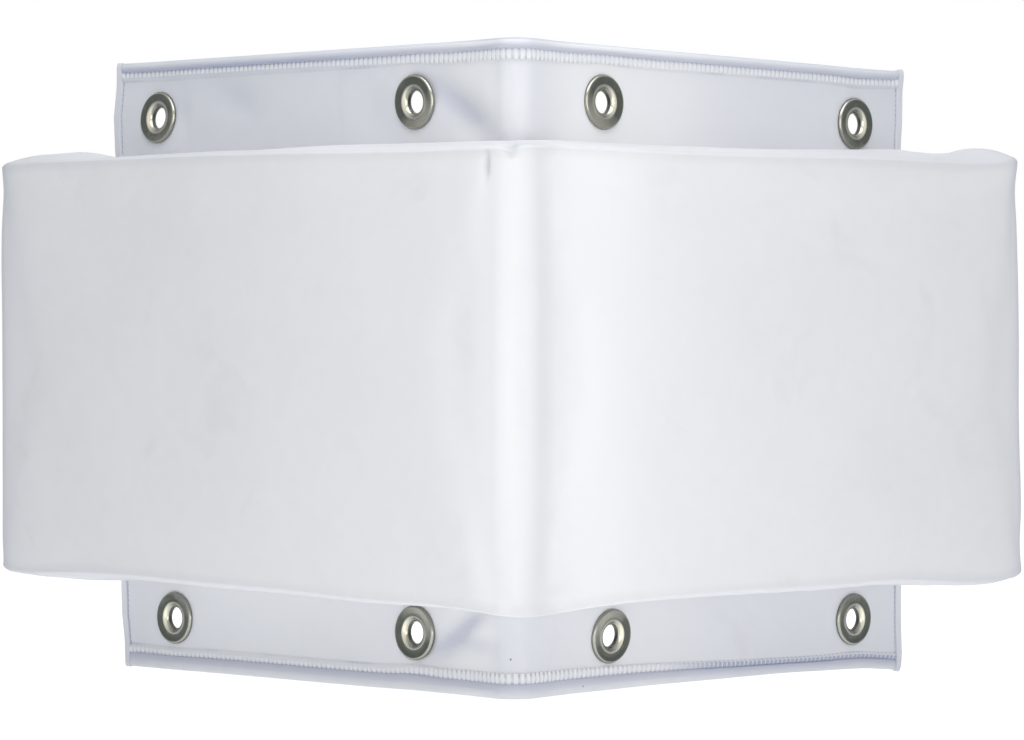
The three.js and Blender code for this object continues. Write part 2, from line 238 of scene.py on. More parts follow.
class BumperFlap(bpy.types.PropertyGroup):
    """Sizes of the two flaps and the back panel"""

    sheet: FloatProperty(
        name="Sheet", description="Thickness of the coated fabric",
        default=1 * MM, min=0.2 * MM, unit="LENGTH",
    )
    seam_gap: FloatProperty(
        name="Layer Gap", description="Gap between sewn layers",
        default=0.3 * MM, min=0, unit="LENGTH",
    )
    seam_allowance: FloatProperty(
        name="Seam Allowance", description="Part of the flap that is hidden in the seam",
        default=12 * MM, min=2 * MM, unit="LENGTH",
    )
    roll: FloatProperty(
        name="Hem Roll", description="Diameter of the rolled hem",
        default=4 * MM, min=1 * MM, unit="LENGTH",
    )
    end_hem: FloatProperty(
        name="End Hem", description="Width of the fold at each end",
        default=5 * MM, min=1 * MM, unit="LENGTH",
    )
    end_relief: FloatProperty(
        name="End Hem Relief", description="How far that fold stands proud",
        default=0.5 * MM, min=0, unit="LENGTH",
    )
    upper_drop: FloatProperty(
        name="Upper Roll Drop", description="From the upper hem roll's crest down to its stitches",
        default=2.5 * MM, min=1 * MM, unit="LENGTH",
    )
    lower_drop: FloatProperty(
        name="Lower Roll Drop", description="From the lower hem roll's crest up to its stitches",
        default=5.0 * MM, min=1 * MM, unit="LENGTH",
    )
    leaf: FloatProperty(
        name="Turned Leaf", description="Width of the sheet turned under below the roll",
        default=3.6 * MM, min=1 * MM, unit="LENGTH",
    )


class BumperStitch(bpy.types.PropertyGroup):
    """Sizes of the stitches"""

    pitch: FloatProperty(
        name="Ladder Pitch", description="Spacing of the overlock stitches",
        default=3.1 * MM, min=0.5 * MM, unit="LENGTH",
    )
    ladder: FloatProperty(
        name="Ladder Width", description="Full length of an overlock stitch across the hem",
        default=4.7 * MM, min=1 * MM, unit="LENGTH",
    )
    thread: FloatProperty(
        name="Thread Width", description="Width of one flattened thread",
        default=1.22 * MM, min=0.1 * MM, unit="LENGTH",
    )
    thread_height: FloatProperty(
        name="Thread Height", description="Height of one flattened thread",
        default=0.5 * MM, min=0.1 * MM, unit="LENGTH",
    )
    twin: FloatProperty(
        name="Twin Spacing", description="Spacing of the two threads of a ladder stitch",
        default=0.9 * MM, min=0, unit="LENGTH",
    )
    needle_pitch: FloatProperty(
        name="Needle Pitch", description="Spacing of the needle thread's stitches",
        default=3.1 * MM, min=0.5 * MM, unit="LENGTH",
    )
    end_pitch: FloatProperty(
        name="End Pitch", description="Spacing of the stitches beside the fold at a flap's end",
        default=2.4 * MM, min=0.5 * MM, unit="LENGTH",
    )
    lock_pitch: FloatProperty(
        name="Lockstitch Pitch", description="Spacing of the stitches round the back panel",
        default=4.2 * MM, min=0.5 * MM, unit="LENGTH",
    )
    unevenness: FloatProperty(
        name="Unevenness", description="How far a stitch turns from its row",
        default=math.radians(5), min=0, unit="ROTATION",
    )
    seed: IntProperty(name="Seed", description="Seed of the unevenness", default=7, min=0)


class BumperGrommet(bpy.types.PropertyGroup):
    """Sizes of the two-part grommets"""

    flange_height: FloatProperty(
        name="Flange Height", description="How far the flange stands out from the flap",
        default=2.1 * MM, min=0.5 * MM, unit="LENGTH",
    )
    bore: FloatProperty(
        name="Bore Radius", description="Radius of the hole",
        default=4.95 * MM, min=1 * MM, unit="LENGTH",
    )
    metal: FloatProperty(
        name="Metal", description="Thickness of the plated sheet",
        default=0.5 * MM, min=0.1 * MM, unit="LENGTH",
    )
    lip: FloatProperty(
        name="Rolled Lip", description="Width of the barrel's end rolled over the washer",
        default=1.7 * MM, min=0.2 * MM, unit="LENGTH",
    )
    fillet: FloatProperty(
        name="Throat Fillet", description="Radius at which the flange turns into the hole",
        default=2.7 * MM, min=0.3 * MM, unit="LENGTH",
    )
    segments: IntProperty(name="Segments", description="Facets round a grommet", default=72, min=12)


class BumperFinish(bpy.types.PropertyGroup):
    """Colours of the materials"""

    cover: FloatVectorProperty(
        name="Cover Vinyl", description="Colour of the pad's cover", subtype="COLOR",
        default=(0.838, 0.825, 0.838), min=0, max=1,
    )
    flap: FloatVectorProperty(
        name="Flap Vinyl", description="Colour of the flaps", subtype="COLOR",
        default=(0.806, 0.81, 0.845), min=0, max=1,
    )
    back: FloatVectorProperty(
        name="Back Vinyl", description="Colour of the back panel", subtype="COLOR",
        default=(0.74, 0.76, 0.80), min=0, max=1,
    )
    thread: FloatVectorProperty(
        name="Thread", description="Colour of the thread", subtype="COLOR",
        default=(0.925, 0.93, 0.95), min=0, max=1,
    )
    nickel: FloatVectorProperty(
        name="Nickel", description="Colour of the plating", subtype="COLOR",
        default=(0.37, 0.365, 0.32), min=0, max=1,
    )
    foam: FloatVectorProperty(
        name="Foam", description="Colour of the foam", subtype="COLOR",
        default=(0.72, 0.70, 0.62), min=0, max=1,
    )


class BumperStage(bpy.types.PropertyGroup):
    """Light and camera"""

    key: FloatProperty(
        name="Key Light", description="Power of the large lamp in front", default=1.95, min=0,
        unit="POWER",
    )
    top: FloatProperty(
        name="Top Light", description="Power of the large lamp overhead", default=9.4, min=0,
        unit="POWER",
    )
    ambient: FloatProperty(
        name="Ambient", description="Strength of the even light from all round", default=0.293, min=0,
    )
    table: FloatProperty(
        name="Table Light", description="Strength of the light that the floor gives back",
        default=0.385, min=0,
    )
    lens: FloatProperty(
        name="Lens", description="Focal length in millimetres", default=139.9, min=10,
    )
    distance: FloatProperty(
        name="Distance", description="From the camera to the pad's corner",
        default=1707.4 * MM, min=0.2, unit="LENGTH",
    )


def pad_settings():
    return bpy.context.scene.bumper_pad


def flap_settings():
    return bpy.context.scene.bumper_flap


# Places on the L

NEAR = 12 * MM  # distance along a leg from which the stations of all layers run level


def bend_radius(n):
    pad = pad_settings()
    return pad.bend_radius + (pad.corner_radius - pad.bend_radius) * n / pad.thickness


def ground_plan(q, n, end):
    """Plan of station q at a distance n from the dock: the place, outward, and away from the corner.

    A station is 0 on the corner's diagonal, 1 at the end of the bend, 2 at NEAR and 3 at the leg's
    end, and negative on the left leg.
    """
    q, n = np.broadcast_arrays(np.asarray(q, float), np.asarray(n, float))
    radius = bend_radius(n)
    centre = radius - n
    reach = np.abs(q)
    angle = np.pi / 4 * (1 + np.clip(reach, 0, 1))
    to_near = centre + (NEAR - centre) * np.clip(reach - 1, 0, 1)
    t = np.where(reach < 2, to_near, NEAR + (end - NEAR) * (reach - 2))
    outward = -np.stack([np.cos(angle), np.sin(angle)], -1)
    away = np.stack([np.sin(angle), -np.cos(angle)], -1)
    spot = centre[..., None] + radius[..., None] * outward + (t - centre)[..., None] * away
    left = (q < 0)[..., None]
    return [np.where(left, plan[..., ::-1], plan) for plan in (spot, outward, away)]


def place(q, n, h, end, along=0.0, out=0.0, up=0.0):
    """Points of the frame at those stations, moved along the leg, out from the dock and up."""
    spot, outward, away = ground_plan(q, n, end)
    along = np.broadcast_to(along, spot.shape[:-1])[..., None]
    out = np.broadcast_to(out, spot.shape[:-1])[..., None]
    spot = spot + outward * out + away * along
    height = np.broadcast_to(MIDDLE + h + up, spot.shape[:-1])
    return np.stack([DOCK_X + spot[..., 0], DOCK_Y + spot[..., 1], height], -1)


def from_corner(q, n, end):
    """Distance of station q from the corner's diagonal along a sheet at n, negative on the left."""
    radius = bend_radius(n)
    centre = radius - n
    reach = np.abs(q)
    bend = radius * np.pi / 4
    to_near = bend + (NEAR - centre) * np.clip(reach - 1, 0, 1)
    distance = np.where(reach < 2, to_near, bend + NEAR - centre + (end - NEAR) * (reach - 2))
    return np.sign(q) * np.where(reach < 1, bend * reach, distance)


def station_at(s, n, end):
    """Station at a distance s from the corner's diagonal along a sheet at n."""
    radius = bend_radius(n)
    centre = radius - n
    bend = radius * np.pi / 4
    t = centre + np.abs(s) - bend
    near = 1 + (t - centre) / (NEAR - centre)
    reach = np.where(t < NEAR, near, 2 + (t - NEAR) / (end - NEAR))
    return np.sign(s) * np.where(np.abs(s) < bend, np.abs(s) / bend, reach)


def station_of(leg, t, end):
    """Station of a place t along a leg, past NEAR."""
    return (1 if leg == "right" else -1) * (2 + (t - NEAR) / (end - NEAR))


def bell(x, centre, width):
    return np.exp(-(((x - centre) / width) ** 2))


def ramp(x, start, end):
    """Smooth step from 0 at start to 1 at end."""
    share = np.clip((x - start) / (end - start), 0, 1)
    return share * share * (3 - 2 * share)


def valley(s, h, start, end, width):
    """1 along the line between two places (s, h) on a sheet, falling off to its sides and ends."""
    start, end = np.array(start), np.array(end)
    line = end - start
    share = ((s - start[0]) * line[0] + (h - start[1]) * line[1]) / (line @ line)
    nearest = np.clip(share, 0, 1)
    gap = np.hypot(s - start[0] - nearest * line[0], h - start[1] - nearest * line[1])
    return np.exp(-((gap / width) ** 2)) * (0.35 + 0.65 * np.sin(np.pi * np.clip(nearest, 0, 1)))


# Meshes

def new_object(name, points, faces, uvs=None):
    """Object at the origin with its place in its mesh, its faces turned outward."""
    mesh = bpy.data.meshes.new(name)
    mesh.from_pydata([tuple(p) for p in points], [], [tuple(f) for f in faces])
    if uvs is not None:
        layer = mesh.uv_layers.new(name="cloth")
        layer.data.foreach_set("uv", np.asarray(uvs, np.float32).ravel())
    shape = bmesh.new()
    shape.from_mesh(mesh)
    bmesh.ops.recalc_face_normals(shape, faces=shape.faces)
    shape.to_mesh(mesh)
    shape.free()
    mesh.shade_smooth()
    piece = bpy.data.objects.new(name, mesh)
    bpy.context.scene.collection.objects.link(piece)
    return piece


def coordinates(mesh):
    points = np.empty(len(mesh.vertices) * 3)
    mesh.vertices.foreach_get("co", points)
    return points.reshape(-1, 3)


def set_coordinates(mesh, points):
    mesh.vertices.foreach_set("co", np.asarray(points, np.float32).ravel())
    mesh.update()


def store(mesh, name, values):
    attribute = mesh.attributes.new(name, "FLOAT", "POINT")
    attribute.data.foreach_set("value", np.asarray(values, np.float32))


def stored(mesh, name):
    values = np.empty(len(mesh.vertices))
    mesh.attributes[name].data.foreach_get("value", values)
    return values


def bake_modifiers(piece):
    """Turns what a piece's modifiers show into its plain mesh."""
    graph = bpy.context.evaluated_depsgraph_get()
    mesh = bpy.data.meshes.new_from_object(piece.evaluated_get(graph))
    old = piece.data
    name = old.name
    piece.modifiers.clear()
    piece.data = mesh
    bpy.data.meshes.remove(old)
    mesh.name = name
    return mesh


def finish_piece(piece, material, slot, *nodes):
    """Gives a piece its material and puts it in the frame in place of CAD nodes."""
    piece.data.materials.clear()
    piece.data.materials.append(material)
    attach(piece, "root")
    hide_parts(*nodes)


# The stuffed pad

def edge_steps(count=4):
    """Grid lines across a rounded edge, evenly turned, as shares of its radius."""
    return np.tan(np.linspace(0, np.pi / 4, count + 1))[1:]


def between(low, high, spacing):
    return np.linspace(low, high, max(2, round((high - low) / spacing) + 1))


def box_grid(counts):
    """Indices of the points on the skin of a block, and its quads with the axis each one faces."""
    index = np.indices(counts)
    skin = np.zeros(counts, bool)
    for axis, count in enumerate(counts):
        skin |= (index[axis] == 0) | (index[axis] == count - 1)
    number = np.full(counts, -1)
    number[skin] = np.arange(skin.sum())
    quads, axes = [], []
    for axis in range(3):
        for side in (0, counts[axis] - 1):
            sheet = number.take(side, axis)
            corners = [sheet[:-1, :-1], sheet[1:, :-1], sheet[1:, 1:], sheet[:-1, 1:]]
            faces = np.stack(corners, -1).reshape(-1, 4)
            quads.append(faces)
            axes.append(np.full(len(faces), axis))
    return [i[skin] for i in index], np.concatenate(quads), np.concatenate(axes)


def smooth_between(x, places, values):
    """Value at x of the smooth curve through values at places (cubic, with its slopes eased)."""
    x = np.clip(x, places[0], places[-1])
    slopes = np.gradient(values, places)
    k = np.clip(np.searchsorted(places, x) - 1, 0, len(places) - 2)
    width = places[k + 1] - places[k]
    u = (x - places[k]) / width
    start = (1 + 2 * u) * (1 - u) ** 2 * values[k] + u * (1 - u) ** 2 * width * slopes[k]
    stop = u * u * (3 - 2 * u) * values[k + 1] - u * u * (1 - u) * width * slopes[k + 1]
    return start + stop


def stuffing_shift(from_end, n, h):
    """How the stuffing moves a point of the plain block: along the leg, out and up."""
    pad = pad_settings()
    depth = n / pad.thickness
    rise = h / PAD_HALF
    belly = 4 * depth * (1 - depth)
    mid_height = np.clip(1 - rise**2, 0, 1)
    at_end = np.clip(1 - from_end / (30 * MM), 0, 1) ** 1.5
    bunch = pad.bunching * ramp(-from_end, -105 * MM, -18 * MM)
    along = at_end * pad.end_crown * belly * mid_height
    out = pad.face_crown * depth * mid_height * (1 - at_end)
    up = rise * belly * (pad.boxing_crown + bunch)
    return along, out, up


def settle_ends(mesh):
    """Pushes out the ends and lifts the long edges near them, as the stuffing leaves them."""
    pad = pad_settings()
    q, n, h = stored(mesh, "station"), stored(mesh, "depth"), stored(mesh, "height")
    depth, rise = n / pad.thickness, h / PAD_HALF
    belly = np.clip(4 * depth * (1 - depth), 0, 1)
    s = from_corner(q, pad.thickness, PAD_END)
    from_end = from_corner(np.array(3.0), pad.thickness, PAD_END) - np.abs(s)
    at_end = np.clip(1 - from_end / (45 * MM), 0, 1) ** 1.5
    along, up = np.zeros(len(q)), np.zeros(len(q))
    for leg in LEGS:
        on_leg = (q < 0) == (leg == "left")
        push = smooth_between(h, END_HEIGHTS, END_PUSHES[leg]) * at_end * (0.3 + 0.7 * depth)
        along = np.where(on_leg, push, along)
        for level, side in LEVELS.items():
            edge = smooth_between(from_end, LIFT_REACHES, EDGE_LIFTS[(leg, level)])
            swelling = smooth_between(from_end, LIFT_REACHES, BOXING_SWELLS[(leg, level)])
            share = np.clip(side * rise, 0, 1) ** 2.5
            lift = share * (edge * depth + side * swelling * belly)
            up = np.where(on_leg, up + lift, up)
    points = coordinates(mesh)
    _, _, away = ground_plan(q, n, PAD_END)
    points[:, :2] += away * along[:, None]
    points[:, 2] += up
    set_coordinates(mesh, points)


def pad_block(name, inset, spacing):
    """The pad's closed skin, drawn in by inset, with its stations stored in the mesh."""
    pad = pad_settings()
    end, face = PAD_END - inset, pad.thickness - inset
    back = 1.3 * MM + inset
    half = PAD_HALF - inset
    fold = max(pad.fold_radius - inset, 1.5 * MM)
    end_radius = max(pad.end_radius - inset, 1.5 * MM)
    steps = edge_steps()
    along = between(NEAR, end - end_radius, spacing)
    along = np.concatenate([along, end - end_radius * (1 - steps)])
    leg = 2 + (along - NEAR) / (PAD_END - NEAR)
    to_bend = np.linspace(1, 2, round(52 * MM / spacing * 1.7))[1:-1]
    side = np.concatenate([to_bend, leg])
    stations = np.concatenate([-side[::-1], np.linspace(-1, 1, 15), side])
    back_steps = edge_steps(2)
    depths = np.concatenate([
        back + pad.seam_radius * (1 - back_steps[::-1]),
        between(back + pad.seam_radius, face - fold, spacing),
        face - fold * (1 - steps),
    ])
    middle = between(-half + fold, half - fold, spacing)
    heights = np.concatenate([-half + fold * (1 - steps[::-1]), middle, half - fold * (1 - steps)])
    (i, j, k), quads, axes = box_grid((len(stations), len(depths), len(heights)))
    q, n, h = stations[i], depths[j], heights[k]
    t = NEAR + (PAD_END - NEAR) * (np.abs(q) - 2)

    # Each point's place over the rounded edges
    into_end = np.clip((t - (end - end_radius)) / end_radius, 0, 1)
    into_face = np.clip((n - (face - fold)) / fold, 0, 1)
    into_back = np.clip((back + pad.seam_radius - n) / pad.seam_radius, 0, 1)
    into_top = np.clip((np.abs(h) - (half - fold)) / fold, 0, 1)
    length = np.sqrt(into_end**2 + (into_face + into_back) ** 2 + into_top**2)
    length = np.maximum(length, 1e-9)
    round_t = t + np.where(into_end > 0, end_radius * into_end * (1 / length - 1), 0)
    round_n = n + fold * into_face * (1 / length - 1)
    round_n = round_n - pad.seam_radius * into_back * (1 / length - 1)
    round_h = h + np.sign(h) * fold * into_top * (1 / length - 1)

    q_round = np.where(np.abs(q) > 2, np.sign(q) * (2 + (round_t - NEAR) / (PAD_END - NEAR)), q)
    from_end = np.where(np.abs(q) > 2, PAD_END - round_t, 1.0)
    shift = stuffing_shift(from_end, round_n, round_h)
    points = place(q_round, round_n, round_h, PAD_END, *shift)

    # The cover is one sheet over the face, top and bottom, unrolled from the corner
    s = from_corner(q, pad.thickness, PAD_END)
    over = np.stack([s, h], -1)[quads]
    boxing = np.stack([s, np.sign(h) * (half + face - n)], -1)[quads]
    ends = np.stack([s + np.sign(s) * (face - n), h], -1)[quads]
    uvs = np.select([axes[:, None, None] == 1, axes[:, None, None] == 2], [over, boxing], ends)
    piece = new_object(name, points, quads, uvs)
    store(piece.data, "station", q_round)
    store(piece.data, "depth", round_n)
    store(piece.data, "height", round_h)
    return piece


def swell(piece):
    """Blows the cover up against its seams for a moment and keeps a limited part of the move."""
    pad = pad_settings()
    mesh = piece.data
    start = coordinates(mesh)
    pinned = np.flatnonzero(stored(mesh, "depth") < 3.5 * MM)
    group = piece.vertex_groups.new(name="seam")
    group.add([int(i) for i in pinned], 1.0, "REPLACE")
    cloth = piece.modifiers.new("Stuffing", "CLOTH")
    cloth.settings.quality = 6
    cloth.settings.mass = 0.4
    cloth.settings.tension_stiffness = 30
    cloth.settings.compression_stiffness = 30
    cloth.settings.shear_stiffness = 12
    cloth.settings.bending_stiffness = 1.5
    cloth.settings.use_pressure = True
    cloth.settings.uniform_pressure_force = pad.pressure
    cloth.settings.vertex_group_mass = group.name
    cloth.settings.effector_weights.gravity = 0
    cloth.collision_settings.use_collision = False
    cloth.point_cache.frame_start = 1
    cloth.point_cache.frame_end = 20
    scene = bpy.context.scene
    for moment in range(1, 21):
        scene.frame_set(moment)
    graph = bpy.context.evaluated_depsgraph_get()
    settled = coordinates(piece.evaluated_get(graph).data)
    piece.modifiers.clear()
    piece.vertex_groups.clear()
    scene.frame_set(1)
    normals = np.empty(len(mesh.vertices) * 3)
    mesh.vertices.foreach_get("normal", normals)
    normals = normals.reshape(-1, 3)
    move = settled - start
    inward = np.minimum((move * normals).sum(1), 0)
    move -= 0.8 * inward[:, None] * normals
    length = np.maximum(np.linalg.norm(move, axis=1), 1e-9)
    move *= np.minimum(1, pad.swell_limit / length)[:, None]
    set_coordinates(mesh, start + move)


def subdivide(piece):
    finer = piece.modifiers.new("Finer", "SUBSURF")
    finer.levels = 1
    finer.render_levels = 1
    return bake_modifiers(piece)


def crease_cover(mesh):
    """The small folds and hollows of the finished cover, and the painted shade and painted light on it."""
    pad = pad_settings()
    q, n, h = stored(mesh, "station"), stored(mesh, "depth"), stored(mesh, "height")
    s = from_corner(q, pad.thickness, PAD_END)
    depth = n / pad.thickness
    front = ramp(depth, 0.55, 0.98)
    top = bell(h, PAD_HALF, 9 * MM)

    # The left leg's top edge lies lower, and a notch lies where it meets the right one
    up = -0.4 * MM * ramp(-s, -2 * MM, 4 * MM) * np.exp(-np.abs(s) / (60 * MM)) * top * depth
    up = up - 1.2 * MM * bell(s, -2.2 * MM, 2.8 * MM) * top * front
    up = up + 0.4 * MM * bell(s, 5 * MM, 6 * MM) * top * front
    # A short upright crease beside the corner, and a tucked crescent at its foot
    crease = valley(s, h, (-14.6 * MM, 99 * MM), (-14.2 * MM, 87 * MM), 1.6 * MM)
    out = -1.1 * MM * crease * front
    below = ramp(-h, 96.0 * MM, 97.6 * MM)
    out = out - 1.1 * MM * below * bell(s, 0, 5 * MM) * front
    out = out + 0.35 * MM * bell(h, -96.3 * MM, 0.8 * MM) * bell(s, 0, 3.2 * MM) * front
    # The corner sharpens towards its foot
    out = out + 0.9 * MM * bell(s, 0, 5 * MM) * bell(h, -88 * MM, 14 * MM) * front
    # Faint waves of the foam under the sheet
    wave = np.sin(s / (19 * MM) + 1.3 * np.sin(h / (37 * MM)))
    wave = wave + 0.7 * np.sin(h / (23 * MM) + s / (61 * MM) + 0.8)
    out = out + 0.06 * MM * wave * front
    out = out - 0.2 * MM * valley(s, h, (-36 * MM, 92 * MM), (-30 * MM, 10 * MM), 9 * MM) * front
    # The seam opens round the flap's root
    root = ramp(-n, -4 * MM, -2.6 * MM) * ramp(-np.abs(s), -FLAP_END - 46 * MM, -FLAP_END - 40 * MM)
    seam = ramp(np.abs(h), PAD_HALF - 15 * MM, PAD_HALF - 11 * MM)
    out = out + 1.35 * MM * root * seam
    _, outward, _ = ground_plan(q, n, PAD_END)
    points = coordinates(mesh)
    points[:, :2] += outward * out[:, None]
    points[:, 2] += up
    set_coordinates(mesh, points)

    # Painted shade in the vinyl's folds, along the long edges, over the top and at the ends, and painted
    # light and shade along the corner from the table
    tuck = bell(s, -1.5 * MM, 2.6 * MM) * bell(h, PAD_HALF - 1 * MM, 2.2 * MM)
    curl = bell(h, -97.6 * MM, 0.7 * MM) * bell(s, 0, 3.2 * MM)
    from_end = from_corner(np.array(3.0), pad.thickness, PAD_END) - np.abs(s)
    painted_edge_shade = 0.17 * bell(np.abs(h), PAD_HALF - 0.5 * MM, 3 * MM) * ramp(depth, 0.9, 0.97)
    painted_edge_shade = np.maximum(painted_edge_shade, 0.15 * ramp(h, PAD_HALF - 2 * MM, PAD_HALF - 0.5 * MM))
    painted_edge_shade = painted_edge_shade + 0.5 * np.exp(-np.maximum(from_end, 0) / (4.8 * MM)) * ramp(depth, 0.5, 0.9)
    shade = (0.6 * crease + 0.3 * tuck + 0.4 * curl) * front + painted_edge_shade
    painted_light = smooth_between(s, PAINTED_LIGHT_AND_SHADE_PLACES, PAINTED_LIGHT_AND_SHADE["cover"]) * front
    store(mesh, "groove", np.clip(shade - painted_light * (1 - ramp(shade, 0, 0.3)), -1, 1))


def make_cover():
    pad = pad_settings()
    cover = pad_block("pad_cover", 0, pad.spacing)
    swell(cover)
    mesh = subdivide(cover)
    settle_ends(mesh)
    crease_cover(mesh)
    mesh.shade_smooth()
    return cover


# Flaps

def grommet_marks(level):
    """Every grommet of a flap: its leg, station name, place along the leg and height."""
    marks = []
    for leg in LEGS:
        for name in ("inner", "outer"):
            low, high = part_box(f"{level}_{leg}_{name}_washer")
            centre = (low + high) / 2
            t = centre.x - DOCK_X if leg == "right" else centre.y - DOCK_Y
            marks.append((leg, name, t, centre.z - MIDDLE))
    return marks


def hem_taper(level, q, t):
    """How much narrower a flap's hem is at a place along it."""
    left, right = HEM_TAPERS[level]
    return np.where(q < 0, left, right) * ramp(t, 0.18 * FLAP_END, 0.73 * FLAP_END)


def flap_shift(level, q, n, h):
    """How a flap's cloth lies away from its plain cut: along the leg, out and up."""
    side = LEVELS[level]
    s = from_corner(q, n, FLAP_END)
    t = np.abs(s)
    share = np.clip((side * h - PAD_HALF) / (LEAF_TOP - PAD_HALF), 0, 1.2)
    free = ramp(side * h, PAD_HALF - 2 * MM, PAD_HALF + 7 * MM)
    corner_rise, left_rise, right_rise = EDGE_RISES[level]
    end_rise = np.where(q < 0, left_rise, right_rise)
    up = share * (corner_rise + (end_rise - corner_rise) * t / FLAP_END)
    along = np.zeros_like(s)
    for leg, on_leg in (("left", q < 0), ("right", q >= 0)):
        reaches = END_REACHES[(level, leg)]
        reach = np.interp(share, (0, 0.5, 1), reaches)
        along = along + np.where(on_leg, reach * ramp(t, FLAP_END - 24 * MM, FLAP_END), 0)
    line = flap_lines(level)
    beyond = np.maximum(side * h - line["leaf_foot"] + 1.5 * MM, 0)
    taper = hem_taper(level, q, t)
    up = up - side * beyond * taper

    # The lower flap bows up beside the corner and hangs at its right end, where the upper one stands
    if level == "lower":
        up = up + 1.8 * MM * share * bell(s, 80 * MM, 60 * MM)
        up = up - 1.1 * MM * share * ramp(s, FLAP_END - 30 * MM, FLAP_END - 2 * MM)
        up = up - 0.9 * MM * share * ramp(s, FLAP_END - 7 * MM, FLAP_END)
    else:
        up = up + 0.6 * MM * share * ramp(s, FLAP_END - 8 * MM, FLAP_END)

    # Both bulge round the corner, and dish a little round each grommet
    out = 0.25 * MM * free * np.sin(s / (21 * MM) + 0.9) * share
    out = out + 4.0 * MM * free * bell(s, 0, 22 * MM) - 0.5 * beyond * taper
    for start, stop, width, deep, _ in CREASES[level]:
        out = out - deep * valley(s, h, start, stop, width) * free
    for leg, name, mark_t, mark_h in grommet_marks(level):
        tilt, lift, nearer = GROMMET_SETS[(level, leg, name)]
        towards = mark_t if leg == "right" else -mark_t
        straight = NEAR - from_corner(np.array(2.0), n, FLAP_END)
        across = s + np.sign(s) * straight - towards
        rise = h - mark_h
        gap = np.hypot(across, rise)
        pressed = 1 / (1 + (gap / (19 * MM)) ** 6)
        out = out - math.tan(math.radians(tilt)) * rise * pressed * free
        out = out + 0.22 * MM * bell(gap, 16 * MM, 2.4 * MM) * free
        up = up + lift * pressed
        along = along - nearer * pressed
    return along, out, up


def flap_places(level, q, n, h):
    return place(q, n, h, FLAP_END, *flap_shift(level, q, n, h))


def flap_lines(level):
    """Distances n and heights that a flap's section keeps to, heights being those away from the pad."""
    flap = flap_settings()
    back = flap.sheet + flap.seam_gap
    edge = LEAF_TOP + flap.roll
    drop = flap.upper_drop if level == "upper" else flap.lower_drop
    groove = edge - flap.roll / 2 - drop
    return {
        "back": back,
        "front": back + flap.sheet,
        "leaf": back + 2 * flap.sheet,
        "edge": edge,
        "drop": drop,
        "groove": groove,
        "leaf_foot": groove - flap.leaf,
        "root": PAD_HALF - flap.seam_allowance,
    }


def flap_outline(level):
    """Section of a flap round from its root's front: its distances n and heights, the same for the
    fold at the flap's end, how much painted shade each point takes in the groove under the roll, and
    which points are on the upper roll's crest, which takes painted shade too."""
    flap = flap_settings()
    side = LEVELS[level]
    line = flap_lines(level)
    roll, edge, groove, foot = flap.roll / 2, line["edge"], line["groove"], line["leaf_foot"]
    rise = between(line["root"], foot - 1.6 * MM, 2.6 * MM)
    step = foot + np.array([-1.1, -0.6, -0.1, 0.4, 0.9]) * MM
    step_out = line["front"] + np.array([0.03, 0.2, 0.5, 0.8, 0.97]) * (line["leaf"] - line["front"])
    leaf = np.array([foot + 1.5 * MM, (foot + groove) / 2, groove - 0.9 * MM, groove - 0.35 * MM])
    leaf_out = line["leaf"] + np.array([0, 0, 0, -0.25]) * MM
    angles = np.radians(np.linspace(-82, 180, 25))
    drop = np.where(angles < 0, line["drop"], roll)
    back_rise = between(line["root"], edge - roll - 1.5 * MM, 2.6 * MM)[::-1]
    n = np.concatenate([
        np.full(len(rise), line["front"]), step_out, leaf_out, [line["leaf"] - 0.35 * MM],
        line["back"] + roll * (1 + np.cos(angles)), np.full(len(back_rise), line["back"]),
    ])
    h = np.concatenate([
        rise, step, leaf, [groove], edge - roll + drop * np.sin(angles), back_rise,
    ])

    # The fold at the end lies over all of it as one smooth strip
    ahead = len(rise) + len(step) + len(leaf) + 1 + int((angles < 0).sum())
    over = np.arange(len(n))
    low, high = line["front"] + flap.end_relief, line["back"] + 1.25 * roll
    strip = low + (high - low) * ramp(h, foot - 4 * MM, edge - 1.3 * roll)
    hidden = h < PAD_HALF + 3 * MM
    strip = np.where(hidden, n + (strip - n) * ramp(h, PAD_HALF + 1 * MM, PAD_HALF + 3 * MM), strip)
    turned = np.zeros(len(n))
    turned[ahead:ahead + int((angles >= 0).sum())] = angles[angles >= 0]
    on_roll = (over >= ahead) & (turned > 0) & (turned < np.pi - 0.01)
    fold_n = np.where(over < ahead, strip, line["back"] + 0.6 * (n - line["back"]))
    fold_h = h + 0.5 * MM * np.where(on_roll, np.sin(turned), 0)
    # Masks of the painted shade under the roll and on the upper roll's crest
    under_roll = ramp(-h, -edge + (1.1 if side > 0 else 0.7) * MM, -groove)
    on_leaf = ramp(h, foot - 0.2 * MM, foot + 0.9 * MM)
    ahead_of_crest = over < len(n) - len(back_rise) - int((angles > np.radians(95)).sum())
    near_groove = 0.25 + 0.75 * ramp(h, groove - 1.3 * MM, groove)
    depth = under_roll * near_groove * on_leaf * ahead_of_crest
    crest = ramp(turned, 0.3, 0.9) * (side > 0)
    return n, side * h, fold_n, side * fold_h, depth, crest


